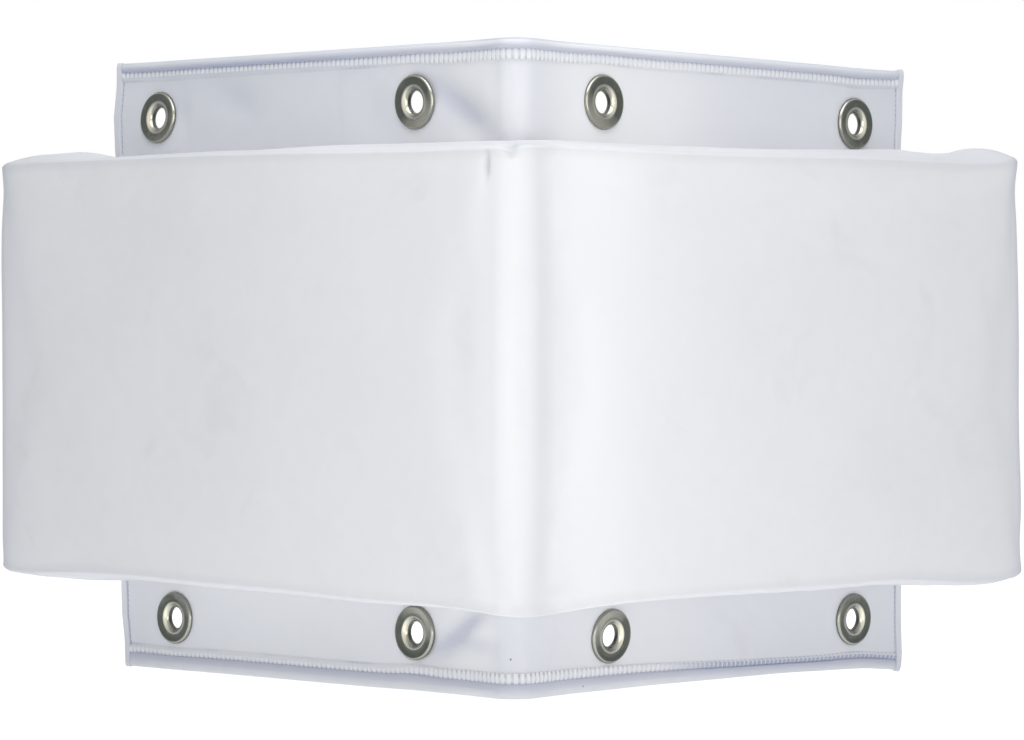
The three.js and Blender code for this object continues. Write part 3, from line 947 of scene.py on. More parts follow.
def make_flap_sheet(level):
    flap = flap_settings()
    line = flap_lines(level)
    n, h, fold_n, fold_h, groove, crest = flap_outline(level)
    hem = FLAP_END - flap.end_hem
    along = np.concatenate([
        between(NEAR, hem - 2.2 * MM, 2.6 * MM),
        hem + np.array([-1.5, -1.0, -0.7, -0.4, -0.15]) * MM,
        hem + flap.end_hem * (1 - np.cos(np.linspace(0, np.pi, 21))) / 2,
    ])
    side = np.concatenate([np.linspace(1, 2, 6)[1:-1], 2 + (along - NEAR) / (FLAP_END - NEAR)])
    stations = np.concatenate([-side[::-1], np.linspace(-1, 1, 13), side])
    q = stations[:, None] + 0 * n
    t = NEAR + (FLAP_END - NEAR) * (np.abs(q) - 2)
    share = (t - hem) / flap.end_hem
    folded = ramp(share, -0.04, 0.13)
    closing = np.sqrt(1 - 0.95 * np.clip((share - 0.78) / 0.22, 0, 1) ** 2)
    middle = line["back"] + flap.sheet / 2
    pinch = bell(share, -0.06, 0.07)
    on_front = n > line["back"] + 0.1 * MM
    visible = ramp(np.abs(h), PAD_HALF + 1 * MM, PAD_HALF + 3 * MM)
    slimmer = 0.25 * ramp(t, hem - 11 * MM, hem - 1 * MM) * (n > line["leaf"] + 0.05 * MM)
    sheet_n = n - (n - line["back"]) * slimmer
    sheet_n = sheet_n + (fold_n - sheet_n) * folded - 0.4 * MM * pinch * on_front * visible
    sheet_n = middle + (sheet_n - middle) * closing
    sheet_h = h + (fold_h - h) * folded
    points = place(q, sheet_n, sheet_h, FLAP_END, *flap_shift(level, q, sheet_n, sheet_h))
    rings, count = q.shape
    number = np.arange(rings * count).reshape(rings, count)
    ahead = np.roll(number, -1, axis=1)
    quads = np.stack([number[:-1], number[1:], ahead[1:], ahead[:-1]], -1).reshape(-1, 4)
    faces = [tuple(quad) for quad in quads.tolist()]
    faces += [tuple(number[0].tolist()), tuple(number[-1][::-1].tolist())]
    s = from_corner(q, n, FLAP_END)
    flat = np.stack([s, np.broadcast_to(h, s.shape)], -1).reshape(-1, 2)
    uvs = [flat[corner] for face in faces for corner in face]
    piece = new_object(f"{level}_flap_sheet", points.reshape(-1, 3), faces, uvs)

    # Painted shade on the vinyl in the groove, on the upper roll's crest, in the creases, beside each end
    # fold and along the needle thread's line
    weight = 0.5 + 0.3 * ramp(-s, 40 * MM, 150 * MM) * (level == "upper")
    crest_weight = 0.22 + 0.26 * bell(s, 0, 30 * MM)
    depth = (weight * groove + crest_weight * crest) * (1 - folded)
    # Painted shadow along the inner edge of the fold at each end
    depth = depth + 0.42 * bell(share, 0.02, 0.08) * on_front * visible
    # Painted shade in each crease
    for start, stop, width, _, shade in CREASES[level]:
        depth = depth + shade * valley(s, sheet_h, start, stop, width)
    # Painted shadow under the leaf's step, broken along its length
    foot = bell(np.abs(h), line["leaf_foot"] - 0.5 * MM, 0.45 * MM)
    uneven = np.sin(s / (9 * MM)) + np.sin(s / (5.3 * MM) + 1.7) + np.sin(s / (23 * MM))
    depth = depth + foot * on_front * (1 - folded) * np.clip(0.08 + 0.14 * uneven, 0.03, 0.4)
    # Painted light near the pad, standing in for the light its boxing gives the flap, and painted light and
    # shade along the flap from the table
    painted_light = 0.4 * np.exp(-np.maximum(np.abs(h) - PAD_HALF, 0) / (17 * MM))
    painted_light = painted_light + smooth_between(s, PAINTED_LIGHT_AND_SHADE_PLACES, PAINTED_LIGHT_AND_SHADE[level])
    store(piece.data, "groove", (depth - painted_light * (1 - ramp(depth, 0, 0.3))).ravel())
    return piece


def grommet_matrix(level, leg, name, t, h):
    """Place of a set grommet: its axis out of the flap, where the flap's cloth carries it."""
    flap = flap_settings()
    tilt, _, _ = GROMMET_SETS[(level, leg, name)]
    front = 2 * flap.sheet + flap.seam_gap
    q = np.array(station_of(leg, t, FLAP_END))
    spot = Vector(flap_places(level, q, np.array(front), np.array(h)))
    _, outward, _ = ground_plan(q, np.array(front), FLAP_END)
    axis = Vector((*outward, 0))
    level_line = Vector((0, 0, 1)).cross(axis)
    turn = Matrix.Rotation(-math.radians(tilt), 4, level_line)
    frame_axes = Matrix((level_line, Vector((0, 0, 1)), axis)).transposed().to_4x4()
    return Matrix.Translation(spot) @ turn @ frame_axes


def punch(flap_piece, level):
    """Cuts the grommets' holes through a flap."""
    grommet = bpy.context.scene.bumper_grommet
    drills = bmesh.new()
    for mark in grommet_marks(level):
        bmesh.ops.create_cone(
            drills, cap_ends=True, segments=40,
            radius1=grommet.bore + grommet.metal + 0.3 * MM,
            radius2=grommet.bore + grommet.metal + 0.3 * MM,
            depth=16 * MM, matrix=grommet_matrix(level, *mark),
        )
    mesh = bpy.data.meshes.new("drills")
    drills.to_mesh(mesh)
    drills.free()
    tool = bpy.data.objects.new("drills", mesh)
    bpy.context.scene.collection.objects.link(tool)
    cut = flap_piece.modifiers.new("Holes", "BOOLEAN")
    cut.operation = "DIFFERENCE"
    cut.solver = "EXACT"
    cut.object = tool
    bake_modifiers(flap_piece)
    bpy.data.objects.remove(tool)
    bpy.data.meshes.remove(mesh)


# Stitches

def node(tree, kind, inputs=None, **settings):
    """Adds a node, sets its options, and sets or links its inputs by name or number."""
    made = tree.nodes.new(kind)
    for option, value in settings.items():
        setattr(made, option, value)
    for key, value in (inputs or {}).items():
        socket = made.inputs[key]
        if isinstance(value, bpy.types.NodeSocket):
            tree.links.new(value, socket)
        else:
            socket.default_value = value
    return made


def maths(tree, operation, *values):
    made = node(tree, "ShaderNodeMath", dict(enumerate(values)), operation=operation)
    return made.outputs[0]


STITCH_INPUTS = {
    "Pitch": ("NodeSocketFloat", 3.1 * MM),
    "Length": ("NodeSocketFloat", 4 * MM),
    "Width": ("NodeSocketFloat", 1 * MM),
    "Height": ("NodeSocketFloat", 0.5 * MM),
    "Arch": ("NodeSocketFloat", 0.3 * MM),
    "Twin": ("NodeSocketFloat", 0.9 * MM),
    "Turn": ("NodeSocketFloat", 0.0),
    "Unevenness": ("NodeSocketFloat", 0.05),
    "Seed": ("NodeSocketInt", 7),
    "Material": ("NodeSocketMaterial", None),
}


def stitch_row_tree():
    """Stitches along a line of points that know which way is outward."""
    tree = bpy.data.node_groups.new("Stitch Row", "GeometryNodeTree")
    tree.interface.new_socket("Geometry", in_out="INPUT", socket_type="NodeSocketGeometry")
    for name, (kind, default) in STITCH_INPUTS.items():
        socket = tree.interface.new_socket(name, in_out="INPUT", socket_type=kind)
        if default is not None:
            socket.default_value = default
    tree.interface.new_socket("Geometry", in_out="OUTPUT", socket_type="NodeSocketGeometry")
    given = node(tree, "NodeGroupInput").outputs

    # One flattened thread, arched over the hem and sunk into it at both ends
    half = maths(tree, "MULTIPLY", given["Length"], 0.5)
    less = maths(tree, "MULTIPLY", given["Length"], -0.5)
    start = node(tree, "ShaderNodeCombineXYZ", {"Y": less}).outputs[0]
    stop = node(tree, "ShaderNodeCombineXYZ", {"Y": half}).outputs[0]
    line = node(tree, "GeometryNodeCurvePrimitiveLine", {"Start": start, "End": stop})
    line = node(tree, "GeometryNodeResampleCurve", {"Curve": line.outputs[0], "Count": 7})
    radius = maths(tree, "MULTIPLY", given["Width"], 0.5)
    ring = node(tree, "GeometryNodeCurvePrimitiveCircle", {"Resolution": 8, "Radius": radius})
    thread = node(
        tree, "GeometryNodeCurveToMesh",
        {"Curve": line.outputs[0], "Profile Curve": ring.outputs[0], "Fill Caps": True},
    )
    flat = maths(tree, "DIVIDE", given["Height"], given["Width"])
    scale = node(tree, "ShaderNodeCombineXYZ", {"X": 1.0, "Y": 1.0, "Z": flat}).outputs[0]
    thread = node(tree, "GeometryNodeTransform", {"Geometry": thread.outputs[0], "Scale": scale})
    spot = node(tree, "GeometryNodeInputPosition").outputs[0]
    y = node(tree, "ShaderNodeSeparateXYZ", {"Vector": spot}).outputs["Y"]
    share = maths(tree, "DIVIDE", y, half)
    dip = maths(tree, "POWER", maths(tree, "ABSOLUTE", share), 4.0)
    bow = maths(tree, "SUBTRACT", given["Arch"], maths(tree, "MULTIPLY", dip, given["Height"]))
    lift = node(tree, "ShaderNodeCombineXYZ", {"Z": bow}).outputs[0]
    thread = node(
        tree, "GeometryNodeSetPosition", {"Geometry": thread.outputs[0], "Offset": lift},
    )
    pair = node(tree, "GeometryNodeJoinGeometry")
    for factor in (-0.5, 0.5):
        step = maths(tree, "MULTIPLY", given["Twin"], factor)
        beside = node(tree, "ShaderNodeCombineXYZ", {"X": step}).outputs[0]
        twin = node(
            tree, "GeometryNodeTransform",
            {"Geometry": thread.outputs[0], "Translation": beside},
        )
        tree.links.new(twin.outputs[0], pair.inputs[0])

    # Stitches at their pitch along the row, each turned a little off it
    row = node(tree, "GeometryNodeMeshToCurve", {"Mesh": given["Geometry"]})
    places = node(
        tree, "GeometryNodeCurveToPoints",
        {"Curve": row.outputs[0], "Length": given["Pitch"]}, mode="LENGTH",
    )
    outward = node(
        tree, "GeometryNodeInputNamedAttribute", {"Name": "outward"}, data_type="FLOAT_VECTOR",
    )
    facing = node(
        tree, "FunctionNodeAxesToRotation",
        {"Primary Axis": outward.outputs[0], "Secondary Axis": places.outputs["Tangent"]},
        primary_axis="Z", secondary_axis="X",
    )
    least = maths(tree, "MULTIPLY", given["Unevenness"], -1.0)
    wobble = node(
        tree, "FunctionNodeRandomValue",
        {2: least, 3: given["Unevenness"], "Seed": given["Seed"]}, data_type="FLOAT",
    )
    turn = maths(tree, "ADD", given["Turn"], wobble.outputs[1])
    spin = node(tree, "FunctionNodeAxisAngleToRotation", {"Axis": (0, 0, 1), "Angle": turn})
    facing = node(
        tree, "FunctionNodeRotateRotation",
        {0: facing.outputs[0], 1: spin.outputs[0]}, rotation_space="LOCAL",
    )
    size = node(tree, "GeometryNodeInputNamedAttribute", {"Name": "size"}, data_type="FLOAT")
    scale = node(tree, "ShaderNodeCombineXYZ", {"X": 1.0, "Y": size.outputs[0], "Z": 1.0})
    stitches = node(
        tree, "GeometryNodeInstanceOnPoints",
        {"Points": places.outputs[0], "Instance": pair.outputs[0], "Rotation": facing.outputs[0],
         "Scale": scale.outputs[0]},
    )
    plain = node(tree, "GeometryNodeRealizeInstances", {"Geometry": stitches.outputs[0]})
    smooth = node(tree, "GeometryNodeSetShadeSmooth", {"Geometry": plain.outputs[0]})
    dressed = node(
        tree, "GeometryNodeSetMaterial",
        {"Geometry": smooth.outputs[0], "Material": given["Material"]},
    )
    node(tree, "NodeGroupOutput", {0: dressed.outputs[0]})
    return tree


def stitch_row(name, points, outward, values, size=1.0):
    """One row of stitches along points, as a plain mesh object; size scales their length."""
    tree = bpy.data.node_groups.get("Stitch Row") or stitch_row_tree()
    mesh = bpy.data.meshes.new(name)
    edges = [(i, i + 1) for i in range(len(points) - 1)]
    mesh.from_pydata([tuple(p) for p in points], edges, [])
    attribute = mesh.attributes.new("outward", "FLOAT_VECTOR", "POINT")
    attribute.data.foreach_set("vector", np.asarray(outward, np.float32).ravel())
    store(mesh, "size", np.broadcast_to(size, len(points)))
    row = bpy.data.objects.new(name, mesh)
    bpy.context.scene.collection.objects.link(row)
    modifier = row.modifiers.new("Stitches", "NODES")
    modifier.node_group = tree
    sockets = {item.name: item.identifier for item in tree.interface.items_tree if item.in_out == "INPUT"}
    for key, value in values.items():
        modifier[sockets[key]] = value
    bake_modifiers(row)
    return row


def join(name, objects):
    """One object from several plain ones."""
    shape = bmesh.new()
    for part in objects:
        shape.from_mesh(part.data)
    mesh = bpy.data.meshes.new(name)
    shape.to_mesh(mesh)
    shape.free()
    for part in objects:
        old = part.data
        bpy.data.objects.remove(part)
        bpy.data.meshes.remove(old)
    joined = bpy.data.objects.new(name, mesh)
    bpy.context.scene.collection.objects.link(joined)
    return joined


def row_on_flap(level, n, h, end, drop=None):
    """Points of a row along a flap at a distance n and height h, less drop at each distance along
    it, their outward directions, and how much narrower the hem is at each."""
    reach = from_corner(np.array(3.0), n, FLAP_END) - (FLAP_END - end)
    s = np.arange(-reach, reach, 1 * MM)
    q = station_at(s, n, FLAP_END)
    n = np.full(len(s), n)
    h = np.full(len(s), h)
    if drop is not None:
        h = h - LEVELS[level] * drop(s)
    points = flap_places(level, q, n, h)
    above = flap_places(level, q, n, h + 0.5 * MM)
    ahead = np.gradient(points, axis=0)
    outward = np.cross(above - points, ahead)
    _, plan, _ = ground_plan(q, n, FLAP_END)
    facing = np.sign((outward[:, :2] * plan).sum(1))
    outward = outward * facing[:, None]
    taper = hem_taper(level, q, np.abs(s))
    return points, outward / np.linalg.norm(outward, axis=1)[:, None], taper


def running_stitches(pitch, share, width, height, seed):
    """Inputs of a plain row of stitches that run along their seam."""
    stitch = bpy.context.scene.bumper_stitch
    return {
        "Pitch": pitch,
        "Length": pitch * share,
        "Width": width,
        "Height": height,
        "Arch": 0.05 * MM,
        "Twin": 0.0,
        "Turn": math.pi / 2,
        "Unevenness": stitch.unevenness,
        "Seed": stitch.seed + seed,
        "Material": thread_material(),
    }


def end_row(level, leg):
    """Points up a flap beside the fold at its end, and their outward directions."""
    flap, line = flap_settings(), flap_lines(level)
    h = LEVELS[level] * np.arange(PAD_HALF + 4 * MM, line["leaf_foot"] - 1 * MM, 1 * MM)
    q = np.full(len(h), station_of(leg, FLAP_END - flap.end_hem - 0.6 * MM, FLAP_END))
    n = np.full(len(h), line["front"] - 0.15 * MM)
    _, plan, _ = ground_plan(q, n, FLAP_END)
    return flap_places(level, q, n, h), np.concatenate([plan, np.zeros((len(h), 1))], 1)


def thread_material():
    made = bpy.data.materials.get("white_thread")
    return made or sewing_thread("white_thread", bpy.context.scene.bumper_finish.thread)


# Grommets

def smooth_outline(points, steps):
    """Closed outline through points, as a Catmull-Rom spline."""
    points = np.array(points)
    before, after, beyond = (np.roll(points, k, axis=0) for k in (1, -1, -2))
    outline = []
    for a, b, c, d in zip(before, points, after, beyond):
        for x in np.arange(steps) / steps:
            outline.append(0.5 * (
                2 * b + (c - a) * x + (2 * a - 5 * b + 4 * c - d) * x**2
                + (3 * b - a - 3 * c + d) * x**3
            ))
    return np.array(outline)


def revolve(name, outline, hollows, crests, matrix, segments, painted_highlight=0.0, eased=(0.0, 0.0)):
    """Solid of a closed outline (radius, n) about a grommet's axis, with its painted shade stored. Its
    crests take a painted highlight on the side of the given angle, and the painted shade of its hollows
    is lighter towards the direction eased."""
    angles = np.arange(segments) * 2 * np.pi / segments
    radius, n = outline[:, 0], outline[:, 1]
    x = np.outer(np.cos(angles), radius)
    y = np.outer(np.sin(angles), radius)
    z = np.broadcast_to(n, x.shape)
    points = np.stack([x, y, z], -1).reshape(-1, 3)
    rotation, shift = np.array(matrix.to_3x3()), np.array(matrix.translation)
    points = points @ rotation.T + shift
    number = np.arange(x.size).reshape(x.shape)
    ahead, after = np.roll(number, -1, axis=0), np.roll(number, -1, axis=1)
    both = np.roll(ahead, -1, axis=1)
    quads = np.stack([number, ahead, both, after], -1).reshape(-1, 4)
    piece = new_object(name, points, quads.tolist())
    turn = angles[:, None]
    # Painted highlight on the crests towards the given angle, painted shade on them elsewhere and in the
    # hollows
    painted_gleam = np.maximum(np.cos(turn - painted_highlight), 0)
    unshaded = np.maximum(eased[0] * np.cos(turn) + eased[1] * np.sin(turn), 0)
    store(piece.data, "hollow", (hollows * (1 - unshaded) + crests * (0.7 - 1.7 * painted_gleam)).ravel())
    return piece


def eyelet_outline():
    """Front half of a grommet, with n measured from the flap's front, where painted shade lies and which
    crests take a painted highlight.
    """
    grommet = bpy.context.scene.bumper_grommet
    flap = flap_settings()
    flange = (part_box("upper_left_inner_eyelet")[1].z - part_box("upper_left_inner_eyelet")[0].z) / 2
    width = flange - grommet.bore
    rise = grommet.flange_height
    bore, metal = grommet.bore, grommet.metal
    lip = -flap.sheet - 1.15 * MM
    fillet = grommet.fillet
    turns = np.radians((180, 160, 140, 122, 105, 90))
    throat = [(bore + fillet * (1 + math.cos(a)), fillet * (math.sin(a) - 0.42)) for a in turns]
    points = [
        (bore + metal, -0.4 * MM),
        (bore + metal + 0.1 * MM, lip + 0.5 * MM),
        (bore + metal + grommet.lip * 0.7, lip + 0.15 * MM),
        (bore + metal + grommet.lip, lip - metal * 0.4),
        (bore + metal + grommet.lip * 0.6, lip - metal),
        (bore + metal + grommet.lip * 0.1, lip - metal * 0.8),
        (bore + 0.35 * MM, lip - metal * 0.1),
        (bore + 0.08 * MM, lip + 0.9 * MM),
        *throat,
        (bore + width * 0.46, rise * 0.60),
        (bore + width * 0.62, rise * 0.60),
        (bore + width * 0.76, rise * 0.75),
        (bore + width * 0.86, rise * 0.86),
        (bore + width * 0.94, rise * 0.72),
        (flange - width * 0.005, rise * 0.38),
        (flange - width * 0.005, rise * 0.12),
        (flange - width * 0.05, 0.12 * MM),
        (flange - width * 0.16, 0.3 * MM),
        (bore + fillet + 0.6 * MM, 0.35 * MM),
    ]
    outline = smooth_outline(points, 4)
    across = (outline[:, 0] - bore) / width
    # Painted shade over the dish, down the throat and round the rim's foot; the crest beside the hole takes
    # the painted highlight
    dish = ramp(across, 0.32, 0.46) * ramp(-across, -0.93, -0.82)
    crest = bell(across, 0.2, 0.13) * (outline[:, 1] > -0.6 * MM)
    inside = ramp(-outline[:, 1], -0.2 * MM, 0.6 * MM) * (across < 0.2)
    rim = ramp(-outline[:, 1], -rise * 0.5, -rise * 0.05) * (across > 0.9)
    return outline, np.clip(dish + inside + rim, 0, 1), crest


def washer_outline():
    """Rear half of a grommet, a dished ring under the rolled lip, darker round its shoulder and with no
    painted highlight.
    """
    grommet = bpy.context.scene.bumper_grommet
    flap = flap_settings()
    low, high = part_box("upper_left_inner_washer")
    outer = (high.z - low.z) / 2
    bore = grommet.bore + grommet.metal + 0.3 * MM
    front = -flap.sheet - 0.15 * MM
    dish = 0.15 * MM
    shoulder = (bore + outer) / 2
    points = [
        (bore, front - dish),
        (shoulder - 0.6 * MM, front - dish),
        (shoulder + 0.8 * MM, front - dish * 0.5),
        (outer - 0.3 * MM, front),
        (outer, front - grommet.metal * 0.5),
        (outer - 0.3 * MM, front - grommet.metal),
        (shoulder + 0.6 * MM, front - dish * 0.6 - grommet.metal),
        (shoulder - 0.8 * MM, front - dish - grommet.metal),
        (bore, front - dish - grommet.metal),
    ]
    outline = smooth_outline(points, 3)
    return outline, bell(outline[:, 0], shoulder, 0.8 * MM), np.zeros(len(outline))


# Materials

def shader_group(name, inputs, outputs):
    """Empty shader node group with named sockets; returns it with its input sockets and its end."""
    group = bpy.data.node_groups.new(name, "ShaderNodeTree")
    for label, (kind, default) in inputs.items():
        socket = group.interface.new_socket(label, in_out="INPUT", socket_type=kind)
        if default is not None:
            socket.default_value = default
    for label, kind in outputs.items():
        group.interface.new_socket(label, in_out="OUTPUT", socket_type=kind)
    start = node(group, "NodeGroupInput").outputs
    end = node(group, "NodeGroupOutput").inputs
    return group, start, end


def scrim_weave():
    """Height of the woven scrim that shows faintly through a coated fabric."""
    group, given, end = shader_group(
        "Scrim Weave",
        {"Vector": ("NodeSocketVector", None), "Pitch": ("NodeSocketFloat", 0.8 * MM)},
        {"Height": "NodeSocketFloat"},
    )
    rate = maths(group, "DIVIDE", 2 * math.pi, given["Pitch"])
    split = node(group, "ShaderNodeSeparateXYZ", {"Vector": given["Vector"]}).outputs
    warp = maths(group, "SINE", maths(group, "MULTIPLY", split["X"], rate))
    weft = maths(group, "SINE", maths(group, "MULTIPLY", split["Y"], rate))
    crossing = maths(group, "MULTIPLY", warp, weft)
    threads = maths(group, "ADD", maths(group, "ABSOLUTE", warp), maths(group, "ABSOLUTE", weft))
    height = maths(group, "ADD", maths(group, "MULTIPLY", threads, 0.35), crossing)
    group.links.new(maths(group, "MULTIPLY", height, 0.5), end["Height"])
    return group


def soft_mottle():
    """Cloudy tone of a plastic skin, at two scales, around a half."""
    group, given, end = shader_group(
        "Soft Mottle",
        {"Vector": ("NodeSocketVector", None), "Scale": ("NodeSocketFloat", 14.0)},
        {"Tone": "NodeSocketFloat"},
    )
    broad = node(
        group, "ShaderNodeTexNoise",
        {"Vector": given["Vector"], "Scale": given["Scale"], "Detail": 3.0, "Roughness": 0.55},
    )
    finer = maths(group, "MULTIPLY", given["Scale"], 9.0)
    fine = node(
        group, "ShaderNodeTexNoise",
        {"Vector": given["Vector"], "Scale": finer, "Detail": 2.0, "Roughness": 0.5},
    )
    mixed = maths(group, "ADD", maths(group, "MULTIPLY", broad.outputs[0], 0.7),
                  maths(group, "MULTIPLY", fine.outputs[0], 0.3))
    group.links.new(mixed, end["Tone"])
    return group


def handling_marks():
    """Mask of a few faint smudges left by handling."""
    group, given, end = shader_group(
        "Handling Marks",
        {"Vector": ("NodeSocketVector", None), "Scale": ("NodeSocketFloat", 22.0),
         "Amount": ("NodeSocketFloat", 0.5)},
        {"Mask": "NodeSocketFloat"},
    )
    patches = node(
        group, "ShaderNodeTexNoise",
        {"Vector": given["Vector"], "Scale": given["Scale"], "Detail": 4.0, "Roughness": 0.6,
         "Distortion": 0.6},
    )
    spots = node(
        group, "ShaderNodeMapRange",
        {"Value": patches.outputs[0], "From Min": 0.60, "From Max": 0.74},
    )
    group.links.new(maths(group, "MULTIPLY", spots.outputs[0], given["Amount"]), end["Mask"])
    return group


def speck():
    """Mask of one small dark speck round a place."""
    group, given, end = shader_group(
        "Speck",
        {"Vector": ("NodeSocketVector", None), "Centre": ("NodeSocketVector", None),
         "Radius": ("NodeSocketFloat", 0.5 * MM)},
        {"Mask": "NodeSocketFloat"},
    )
    gap = node(
        group, "ShaderNodeVectorMath", {0: given["Vector"], 1: given["Centre"]},
        operation="DISTANCE",
    )
    inner = maths(group, "MULTIPLY", given["Radius"], 0.4)
    mask = node(
        group, "ShaderNodeMapRange",
        {"Value": gap.outputs["Value"], "From Min": given["Radius"], "From Max": inner},
    )
    group.links.new(mask.outputs[0], end["Mask"])
    return group


def shared(maker, name):
    return bpy.data.node_groups.get(name) or maker()


def group_node(tree, maker, name, inputs):
    """Adds a shared shader node group with its own values."""
    return node(tree, "ShaderNodeGroup", inputs, node_tree=shared(maker, name))


def blank_material(name):
    material = bpy.data.materials.new(name)
    material.use_nodes = True
    material.node_tree.nodes.clear()
    return material, material.node_tree


def mix_colour(tree, factor, first, second):
    """Colour between two; each is a colour or a socket."""
    made = tree.nodes.new("ShaderNodeMix")
    made.data_type = "RGBA"
    for index, value in ((0, factor), (6, first), (7, second)):
        if isinstance(value, bpy.types.NodeSocket):
            tree.links.new(value, made.inputs[index])
        elif index:
            made.inputs[index].default_value = (*value, 1)
        else:
            made.inputs[index].default_value = value
    return made.outputs[2]


def toned(colour, factor):
    return tuple(channel * factor for channel in colour)


def coated_fabric(name, colour, weave, roughness, specks=(), groove=None):
    """Vinyl-coated fabric: cloudy tone, faint smudges, a scrim that shows through, small specks, and
    painted shade where the mesh's groove attribute is above 0 and painted light where it's below."""
    material, tree = blank_material(name)
    where = node(tree, "ShaderNodeTexCoord").outputs["Object"]
    cloth = node(tree, "ShaderNodeUVMap", uv_map="cloth").outputs[0]
    tone = group_node(tree, soft_mottle, "Soft Mottle", {"Vector": where, "Scale": 13.0})
    cloud = node(
        tree, "ShaderNodeMapRange",
        {"Value": tone.outputs[0], "From Min": 0.35, "From Max": 0.65},
    ).outputs[0]
    tint = mix_colour(tree, cloud, toned(colour, 0.972), toned(colour, 1.012))
    marks = group_node(tree, handling_marks, "Handling Marks", {"Vector": where, "Amount": 0.16})
    tint = mix_colour(tree, marks.outputs[0], tint, HANDLED_VINYL)
    if groove is not None:
        # Painted shade where the groove attribute is above 0, painted light where it's below
        deep = node(tree, "ShaderNodeAttribute", attribute_name="groove").outputs["Fac"]
        tint = mix_colour(tree, maths(tree, "MAXIMUM", deep, 0.0), tint, groove)
        painted_light_share = maths(tree, "MAXIMUM", maths(tree, "MULTIPLY", deep, -1.0), 0.0)
        tint = mix_colour(tree, painted_light_share, tint, PAINTED_LIGHT_VINYL)
    for centre, radius, strength in specks:
        spot = group_node(
            tree, speck, "Speck", {"Vector": where, "Centre": tuple(centre), "Radius": radius},
        )
        dark = maths(tree, "MULTIPLY", spot.outputs[0], strength)
        tint = mix_colour(tree, dark, tint, DARK_SPECK)
    gloss = node(
        tree, "ShaderNodeMapRange",
        {"Value": tone.outputs[0], "From Min": 0.3, "From Max": 0.7,
         "To Min": roughness - 0.05, "To Max": roughness + 0.07},
    ).outputs[0]
    scrim = group_node(tree, scrim_weave, "Scrim Weave", {"Vector": cloth, "Pitch": 0.85 * MM})
    pebble = node(
        tree, "ShaderNodeTexNoise",
        {"Vector": where, "Scale": 900.0, "Detail": 2.0, "Roughness": 0.6},
    ).outputs[0]
    relief = maths(tree, "ADD", maths(tree, "MULTIPLY", scrim.outputs[0], weave),
                   maths(tree, "MULTIPLY", pebble, 0.35))
    bump = node(
        tree, "ShaderNodeBump",
        {"Height": relief, "Strength": 0.22, "Distance": 0.05 * MM},
    )
    shader = node(
        tree, "ShaderNodeBsdfPrincipled",
        {"Base Color": tint, "Roughness": gloss, "Normal": bump.outputs[0]},
    )
    shader.inputs["IOR"].default_value = 1.45
    shader.inputs["Specular IOR Level"].default_value = 0.26
    node(tree, "ShaderNodeOutputMaterial", {"Surface": shader.outputs[0]})
    return material


def sewing_thread(name, colour):
    """Polyester thread: fine twist across it and a soft sheen, and painted shade where the mesh's attribute
    marks it.
    """
    material, tree = blank_material(name)
    where = node(tree, "ShaderNodeTexCoord").outputs["Object"]
    tone = group_node(tree, soft_mottle, "Soft Mottle", {"Vector": where, "Scale": 160.0})
    tint = mix_colour(tree, tone.outputs[0], toned(colour, 0.9), colour)
    sunk = node(tree, "ShaderNodeAttribute", attribute_name="sunk").outputs["Fac"]
    tint = mix_colour(tree, sunk, tint, PAINTED_SHADE_THREAD)
    twist = node(
        tree, "ShaderNodeTexNoise",
        {"Vector": where, "Scale": 2600.0, "Detail": 2.0},
    ).outputs[0]
    bump = node(tree, "ShaderNodeBump", {"Height": twist, "Strength": 0.35, "Distance": 0.08 * MM})
    shader = node(
        tree, "ShaderNodeBsdfPrincipled",
        {"Base Color": tint, "Roughness": 0.6, "Normal": bump.outputs[0]},
    )
    shader.inputs["Sheen Weight"].default_value = 0.15
    node(tree, "ShaderNodeOutputMaterial", {"Surface": shader.outputs[0]})
    return material


def plated_metal(name, colour):
    """Nickel plate: fine turned scratches, painted dark reflection and shade in the hollows, a painted
    highlight on the crests.
    """
    material, tree = blank_material(name)
    where = node(tree, "ShaderNodeTexCoord").outputs["Object"]
    # Painted dark reflection and shade where hollow is above 0, painted highlight where it's below
    hollow = node(tree, "ShaderNodeAttribute", attribute_name="hollow").outputs["Fac"]
    tone = group_node(tree, soft_mottle, "Soft Mottle", {"Vector": where, "Scale": 210.0})
    painted_dark = maths(tree, "MULTIPLY", hollow, maths(tree, "ADD", 0.55, tone.outputs[0]))
    painted_highlight = maths(tree, "MAXIMUM", maths(tree, "MULTIPLY", hollow, -1.0), 0.0)
    painted_dark = maths(tree, "MAXIMUM", maths(tree, "MINIMUM", painted_dark, 1.0), 0.0)
    unshaded = mix_colour(tree, tone.outputs[0], toned(colour, 0.9), toned(colour, 1.1))
    unshaded = mix_colour(tree, painted_highlight, unshaded, PAINTED_HIGHLIGHT_NICKEL)
    tint = mix_colour(tree, painted_dark, unshaded, PAINTED_SHADE_NICKEL)
    gloss = node(
        tree, "ShaderNodeMapRange",
        {"Value": painted_dark, "To Min": 0.2, "To Max": 0.4},
    ).outputs[0]
    scratch = node(
        tree, "ShaderNodeTexNoise",
        {"Vector": where, "Scale": 1500.0, "Detail": 3.0, "Roughness": 0.7},
    ).outputs[0]
    bump = node(tree, "ShaderNodeBump", {"Height": scratch, "Strength": 0.12, "Distance": 0.05 * MM})
    shader = node(
        tree, "ShaderNodeBsdfPrincipled",
        {"Base Color": tint, "Roughness": gloss, "Normal": bump.outputs[0]},
    )
    shader.inputs["Metallic"].default_value = 1.0
    node(tree, "ShaderNodeOutputMaterial", {"Surface": shader.outputs[0]})
    return material


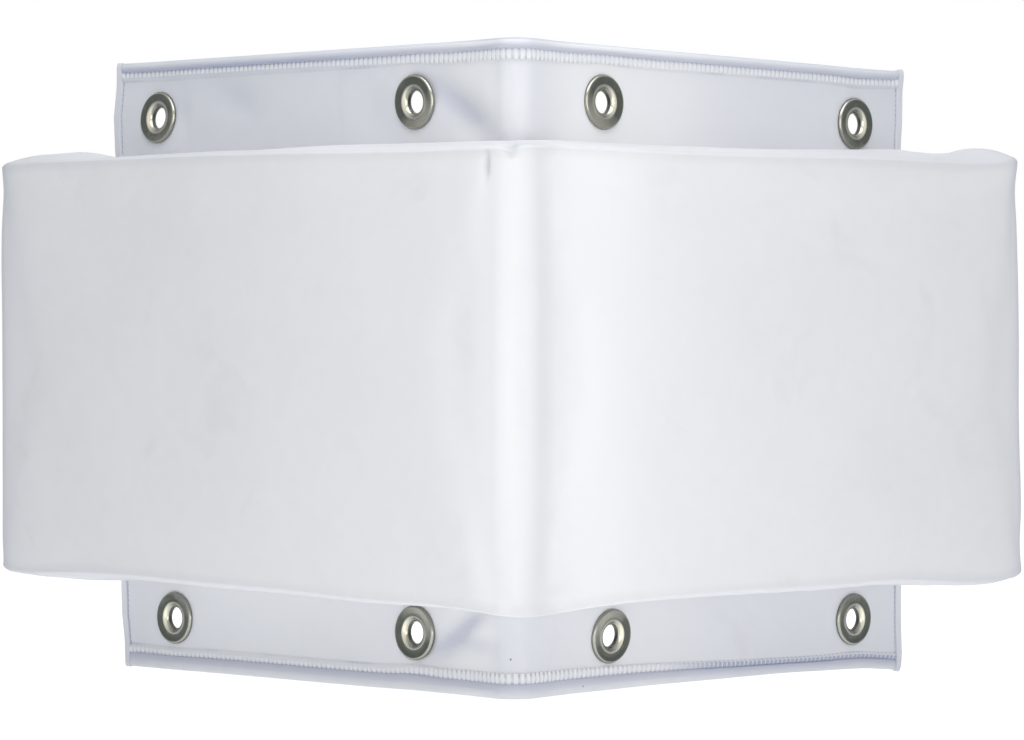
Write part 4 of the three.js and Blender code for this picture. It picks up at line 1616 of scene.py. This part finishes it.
def cell_foam(name, colour):
    """Closed-cell foam: small cells cut open at the surface."""
    material, tree = blank_material(name)
    where = node(tree, "ShaderNodeTexCoord").outputs["Object"]
    cells = node(tree, "ShaderNodeTexVoronoi", {"Vector": where, "Scale": 900.0}).outputs[0]
    tint = mix_colour(tree, cells, colour, toned(colour, 0.8))
    bump = node(tree, "ShaderNodeBump", {"Height": cells, "Strength": 0.5, "Distance": 0.3 * MM})
    shader = node(
        tree, "ShaderNodeBsdfPrincipled",
        {"Base Color": tint, "Roughness": 0.9, "Normal": bump.outputs[0]},
    )
    node(tree, "ShaderNodeOutputMaterial", {"Surface": shader.outputs[0]})
    return material


def seen_directly(tree):
    """1 for the rays that see the backdrop: from the camera, off metal or through glass."""
    rays = node(tree, "ShaderNodeLightPath").outputs
    seen = maths(tree, "MAXIMUM", rays["Is Camera Ray"], rays["Is Glossy Ray"])
    return maths(tree, "MAXIMUM", seen, rays["Is Transmission Ray"])


def studio_floor(name, glow):
    """Pale floor lit from within, white to the camera and the metal, with its shadows kept in part."""
    material, tree = blank_material(name)
    seen = seen_directly(tree)
    matt = node(tree, "ShaderNodeBsdfDiffuse", {"Color": (0.8, 0.8, 0.8, 1)})
    white_glow = 0.8
    strength = maths(tree, "ADD", glow, maths(tree, "MULTIPLY", seen, white_glow - glow))
    tint = mix_colour(tree, seen, (0.92, 0.96, 1.0), (1.0, 1.0, 1.0))
    white = node(tree, "ShaderNodeEmission", {"Color": tint, "Strength": strength})
    bright = node(tree, "ShaderNodeAddShader", {0: matt.outputs[0], 1: white.outputs[0]})
    node(tree, "ShaderNodeOutputMaterial", {"Surface": bright.outputs[0]})
    return material


# Operators

class BUMPER_OT_foam_pad(bpy.types.Operator):
    """Make the stuffed pad: its foam block and its cover"""

    bl_idname = "bumper.foam_pad"
    bl_label = "Foam Pad"

    def execute(self, context):
        pad, finish = context.scene.bumper_pad, context.scene.bumper_finish
        foam = pad_block("foam_block", 6 * MM, 12 * MM)
        finish_piece(foam, cell_foam("closed_cell_foam", finish.foam), "foam", "foam_core")
        cover = make_cover()
        vinyl = coated_fabric("cover_vinyl", finish.cover, 0.25, 0.55, groove=PAINTED_SHADE_COVER)
        finish_piece(cover, vinyl, "cover_vinyl", "front_cover")
        return {"FINISHED"}


class BUMPER_OT_flaps(bpy.types.Operator):
    """Make the upper and the lower flap, hemmed and punched for the grommets"""

    bl_idname = "bumper.flaps"
    bl_label = "Flaps"

    def execute(self, context):
        flap, finish = context.scene.bumper_flap, context.scene.bumper_finish
        stitch = context.scene.bumper_stitch
        specks = []
        for s, n, h, radius, strength in SPECKS:
            q = station_at(np.array(s), n, FLAP_END)
            centre = flap_places("lower", q, np.array(n), np.array(h))
            specks.append((centre, radius, strength))
        vinyl = coated_fabric("flap_vinyl", finish.flap, 1.0, 0.55, specks, PAINTED_SHADE_FLAP)
        for level in LEVELS:
            piece = make_flap_sheet(level)
            punch(piece, level)
            piece.data.set_sharp_from_angle(angle=math.radians(50))
            finish_piece(piece, vinyl, "flap_vinyl", f"{level}_flap")
            rows = []
            for leg in LEGS:
                points, outward = end_row(level, leg)
                values = running_stitches(stitch.end_pitch, 0.55, 0.42 * MM, 0.36 * MM, 3)
                rows.append(stitch_row(f"{level}_{leg}_end", points, outward, values))
            ends = join(f"{level}_end_stitching", rows)
            ends.data.materials.append(thread_material())
            # Painted shade on the stitches beside each end fold
            store(ends.data, "sunk", np.full(len(ends.data.vertices), 0.7))
            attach(ends, "root")
        return {"FINISHED"}


class BUMPER_OT_hem_stitching(bpy.types.Operator):
    """Sew the overlock ladder and its needle thread along both hems"""

    bl_idname = "bumper.hem_stitching"
    bl_label = "Hem Stitching"

    def execute(self, context):
        flap, stitch = context.scene.bumper_flap, context.scene.bumper_stitch
        thread = thread_material()
        end = FLAP_END - flap.end_hem - 0.8 * MM
        for level, side in LEVELS.items():
            line = flap_lines(level)
            longest = stitch.ladder

            def length(s):
                return longest * smooth_between(s, LADDER_PLACES, LADDER_SHARES[level])

            points, outward, taper = row_on_flap(
                level, line["leaf"] - 0.1 * MM, side * (line["groove"] + 0.1 * MM), end,
                lambda s: length(s) / 2,
            )
            reach = np.linspace(-1, 1, len(points)) * end
            ladder = stitch_row(f"{level}_ladder", points, outward, {
                "Pitch": stitch.pitch,
                "Length": longest,
                "Width": stitch.thread,
                "Height": stitch.thread_height,
                "Arch": 0.12 * MM,
                "Twin": stitch.twin,
                "Turn": 0.0,
                "Unevenness": stitch.unevenness,
                "Seed": stitch.seed,
                "Material": thread,
            }, length(reach) / longest * (1 - 0.9 * taper))
            foot = side * (line["leaf_foot"] - 0.5 * MM)
            points, outward, _ = row_on_flap(level, line["front"] + 0.15 * MM, foot, end)
            values = running_stitches(stitch.needle_pitch, 0.5, 0.36 * MM, 0.36 * MM, 1)
            needle = stitch_row(f"{level}_needle", points, outward, values)
            sewn = join(f"{level}_overlock", [ladder, needle])
            # Painted shade on the lower hem's ladder towards its right end, where the hem turns down
            spots = coordinates(sewn.data)
            along_right = (spots[:, 0] - DOCK_X) * (level == "lower")
            store(sewn.data, "sunk", 0.95 * ramp(along_right, 85 * MM, 140 * MM))
            finish_piece(sewn, thread, "thread", f"{level}_hem_stitching")
        return {"FINISHED"}


class BUMPER_OT_back_panel(bpy.types.Operator):
    """Make the panel that closes the pad against the dock, and the seam that holds it"""

    bl_idname = "bumper.back_panel"
    bl_label = "Back Panel"

    def execute(self, context):
        flap, stitch = context.scene.bumper_flap, context.scene.bumper_stitch
        finish = context.scene.bumper_finish
        steps = edge_steps(3)
        rim = 4 * MM
        along = np.concatenate([
            between(NEAR, PAD_END - rim, 6 * MM), PAD_END - rim * (1 - steps),
        ])
        side = np.concatenate([
            np.linspace(1, 2, 4)[1:-1], 2 + (along - NEAR) / (PAD_END - NEAR),
        ])
        stations = np.concatenate([-side[::-1], np.linspace(-1, 1, 13), side])
        depths = np.array([0.0, 0.25, 0.75, 1.0]) * flap.sheet
        middle = between(-PAD_HALF + rim, PAD_HALF - rim, 6 * MM)
        heights = np.concatenate([
            -PAD_HALF + rim * (1 - steps[::-1]), middle, PAD_HALF - rim * (1 - steps),
        ])
        (i, j, k), quads, _ = box_grid((len(stations), len(depths), len(heights)))
        q, n, h = stations[i], depths[j], heights[k]
        t = NEAR + (PAD_END - NEAR) * (np.abs(q) - 2)
        into_end = np.clip((t - PAD_END + rim) / rim, 0, 1)
        into_top = np.clip((np.abs(h) - PAD_HALF + rim) / rim, 0, 1)
        length = np.maximum(np.hypot(into_end, into_top), 1)
        q = np.sign(q) * (np.abs(q) + into_end * rim / (PAD_END - NEAR) * (1 / length - 1))
        h = h + np.sign(h) * rim * into_top * (1 / length - 1)
        edge_inset = np.minimum(PAD_END - t, PAD_HALF - np.abs(h))
        sewn = 0.3 * MM * bell(edge_inset, 6 * MM, 1.5 * MM) * (n < flap.sheet / 2)
        s = from_corner(q, 0, PAD_END)
        panel = new_object(
            "back_panel_sheet", place(q, n + sewn, h, PAD_END), quads,
            np.stack([s, h], -1)[quads],
        )
        panel.data.set_sharp_from_angle(angle=math.radians(50))
        vinyl = coated_fabric("back_vinyl", finish.back, 1.2, 0.5)
        thread = thread_material()

        # The seam runs round the panel, a little inside its edge, on the dock side
        inset = 6 * MM
        reach = float(from_corner(np.array(3.0), 0, PAD_END)) - inset
        across = np.arange(-reach, reach, 2 * MM)
        upright = np.arange(-PAD_HALF + inset, PAD_HALF - inset, 2 * MM)
        corner_s = np.concatenate([
            across, np.full(len(upright), reach), across[::-1], np.full(len(upright), -reach),
        ])
        corner_h = np.concatenate([
            np.full(len(across), -PAD_HALF + inset), upright,
            np.full(len(across), PAD_HALF - inset), upright[::-1],
        ])
        q = station_at(corner_s, 0, PAD_END)
        ring = place(q, 0.22 * MM, corner_h, PAD_END)
        _, plan, _ = ground_plan(q, np.zeros(len(q)), PAD_END)
        inward = np.concatenate([-plan, np.zeros((len(q), 1))], 1)
        values = running_stitches(stitch.lock_pitch, 0.8, 0.55 * MM, 0.42 * MM, 2)
        lock = stitch_row("back_seam_stitching", ring, inward, values)
        lock.data.materials.clear()
        lock.data.materials.append(thread)
        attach(lock, "root")
        finish_piece(panel, vinyl, "back_vinyl", "back_panel")
        return {"FINISHED"}


class BUMPER_OT_grommets(bpy.types.Operator):
    """Set the eight two-part grommets"""

    bl_idname = "bumper.grommets"
    bl_label = "Grommets"

    def execute(self, context):
        nickel = plated_metal("tarnished_nickel", context.scene.bumper_finish.nickel)
        segments = context.scene.bumper_grommet.segments
        eyelet, washer = eyelet_outline(), washer_outline()
        for level in LEVELS:
            for leg, name, t, h in grommet_marks(level):
                matrix = grommet_matrix(level, leg, name, t, h)
                label = f"{level}_{leg}_{name}"
                # The painted highlight lies on the side away from the corner, and the painted shade eases
                # towards the corner and the pad, more on the inner grommets
                away = 0 if leg == "right" else math.pi
                share = 0.62 if name == "inner" else 0.16
                eased = (-0.6 * share * math.cos(away), -0.85 * share * LEVELS[level])
                front = revolve(f"{label}_flange", *eyelet, matrix, segments, away, eased)
                finish_piece(front, nickel, "nickel", f"{label}_eyelet")
                rear = revolve(f"{label}_ring", *washer, matrix, segments)
                finish_piece(rear, nickel, "nickel", f"{label}_washer")
        return {"FINISHED"}


class BUMPER_OT_stage(bpy.types.Operator):
    """Lay the floor, hang the lights and set the camera"""

    bl_idname = "bumper.stage"
    bl_label = "Stage"

    def execute(self, context):
        scene = context.scene
        stage, pad = scene.bumper_stage, scene.bumper_pad
        half = 6.0  # the floor reaches well past every view
        floor = new_object(
            "floor", [(-half, -half, FLOOR), (half, -half, FLOOR), (half, half, FLOOR),
                      (-half, half, FLOOR)], [(0, 1, 2, 3)],
        )
        floor.data.materials.append(studio_floor("pale_floor", stage.table))

        world = bpy.data.worlds.new("studio")
        world.use_nodes = True
        tree = world.node_tree
        tree.nodes.clear()
        seen = seen_directly(tree)
        plain = node(
            tree, "ShaderNodeBackground",
            {"Color": (0.855, 0.94, 1.0, 1), "Strength": stage.ambient},
        )
        white = node(tree, "ShaderNodeBackground", {"Color": (1, 1, 1, 1), "Strength": 1.0})
        mixed = node(
            tree, "ShaderNodeMixShader", {0: seen, 1: plain.outputs[0], 2: white.outputs[0]},
        )
        node(tree, "ShaderNodeOutputWorld", {"Surface": mixed.outputs[0]})
        scene.world = world

        # The camera looks at the pad's corner, from a little above its middle
        right = Vector((1, -1, 0)).normalized()
        away = Vector((1, 1, 0)).normalized()
        corner = Vector((DOCK_X - pad.thickness, DOCK_Y - pad.thickness, MIDDLE))
        aside, over_middle = 15 * MM, 29.9 * MM
        eye = corner - aside * right - stage.distance * away + Vector((0, 0, over_middle))
        yaw, pitch, roll = 0.0077, -0.0159, 0.0024
        forward = right * math.sin(yaw) * math.cos(pitch) + away * math.cos(yaw) * math.cos(pitch)
        forward = forward + Vector((0, 0, math.sin(pitch)))
        level = forward.cross(Vector((0, 0, 1))).normalized()
        above = level.cross(forward)
        across = level * math.cos(roll) + above * math.sin(roll)
        over = above * math.cos(roll) - level * math.sin(roll)
        turn = Matrix((across, over, -forward)).transposed()
        data = bpy.data.cameras.new("camera")
        data.lens = stage.lens
        data.sensor_width = 36.0
        camera = bpy.data.objects.new("camera", data)
        camera.matrix_world = Matrix.Translation(eye) @ turn.to_4x4()
        scene.collection.objects.link(camera)
        scene.camera = camera

        # One large soft lamp in front of the corner, a little to the right, and one overhead
        self.lamp(scene, "key", corner + 0.12 * right - 0.7 * away + Vector((0, 0, 0.12)),
                  corner, 0.6, stage.key, (1.0, 0.955, 0.895))
        self.lamp(scene, "top", corner + 0.04 * right - 0.3 * away + Vector((0, 0, 1.0)),
                  corner, 1.1, stage.top, (0.96, 0.98, 1.0))

        scene.view_settings.view_transform = "Standard"
        return {"FINISHED"}

    def lamp(self, scene, name, spot, target, size, power, colour):
        data = bpy.data.lights.new(name, "AREA")
        data.shape = "SQUARE"
        data.size = size
        data.energy = power
        data.color = colour
        light = bpy.data.objects.new(name, data)
        light.location = spot
        light.rotation_mode = "QUATERNION"
        light.rotation_quaternion = (target - spot).to_track_quat("-Z", "Y")
        scene.collection.objects.link(light)


class BUMPER_PT_builder(bpy.types.Panel):
    """Settings and steps of the bumper"""

    bl_idname = "BUMPER_PT_builder"
    bl_label = "Dock Corner Bumper"
    bl_space_type = "VIEW_3D"
    bl_region_type = "UI"
    bl_category = "Bumper"

    def draw(self, context):
        for label, group in SETTINGS.items():
            box = self.layout.box()
            box.label(text=group.__doc__)
            values = getattr(context.scene, label)
            for name in group.__annotations__:
                box.prop(values, name)
        for step in STEPS:
            self.layout.operator(step.bl_idname)


SETTINGS = {
    "bumper_pad": BumperPad,
    "bumper_flap": BumperFlap,
    "bumper_stitch": BumperStitch,
    "bumper_grommet": BumperGrommet,
    "bumper_finish": BumperFinish,
    "bumper_stage": BumperStage,
}
STEPS = (
    BUMPER_OT_stage,
    BUMPER_OT_foam_pad,
    BUMPER_OT_back_panel,
    BUMPER_OT_flaps,
    BUMPER_OT_hem_stitching,
    BUMPER_OT_grommets,
)
CLASSES = (*SETTINGS.values(), *STEPS, BUMPER_PT_builder)


def register():
    for made in CLASSES:
        bpy.utils.register_class(made)
    for label, group in SETTINGS.items():
        setattr(bpy.types.Scene, label, PointerProperty(type=group))


def unregister():
    for label in SETTINGS:
        delattr(bpy.types.Scene, label)
    for made in reversed(CLASSES):
        bpy.utils.unregister_class(made)


def main():
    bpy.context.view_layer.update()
    register()
    for step in STEPS:
        area, action = step.bl_idname.split(".")
        getattr(getattr(bpy.ops, area), action)()


if __name__ == "__main__":
    main()
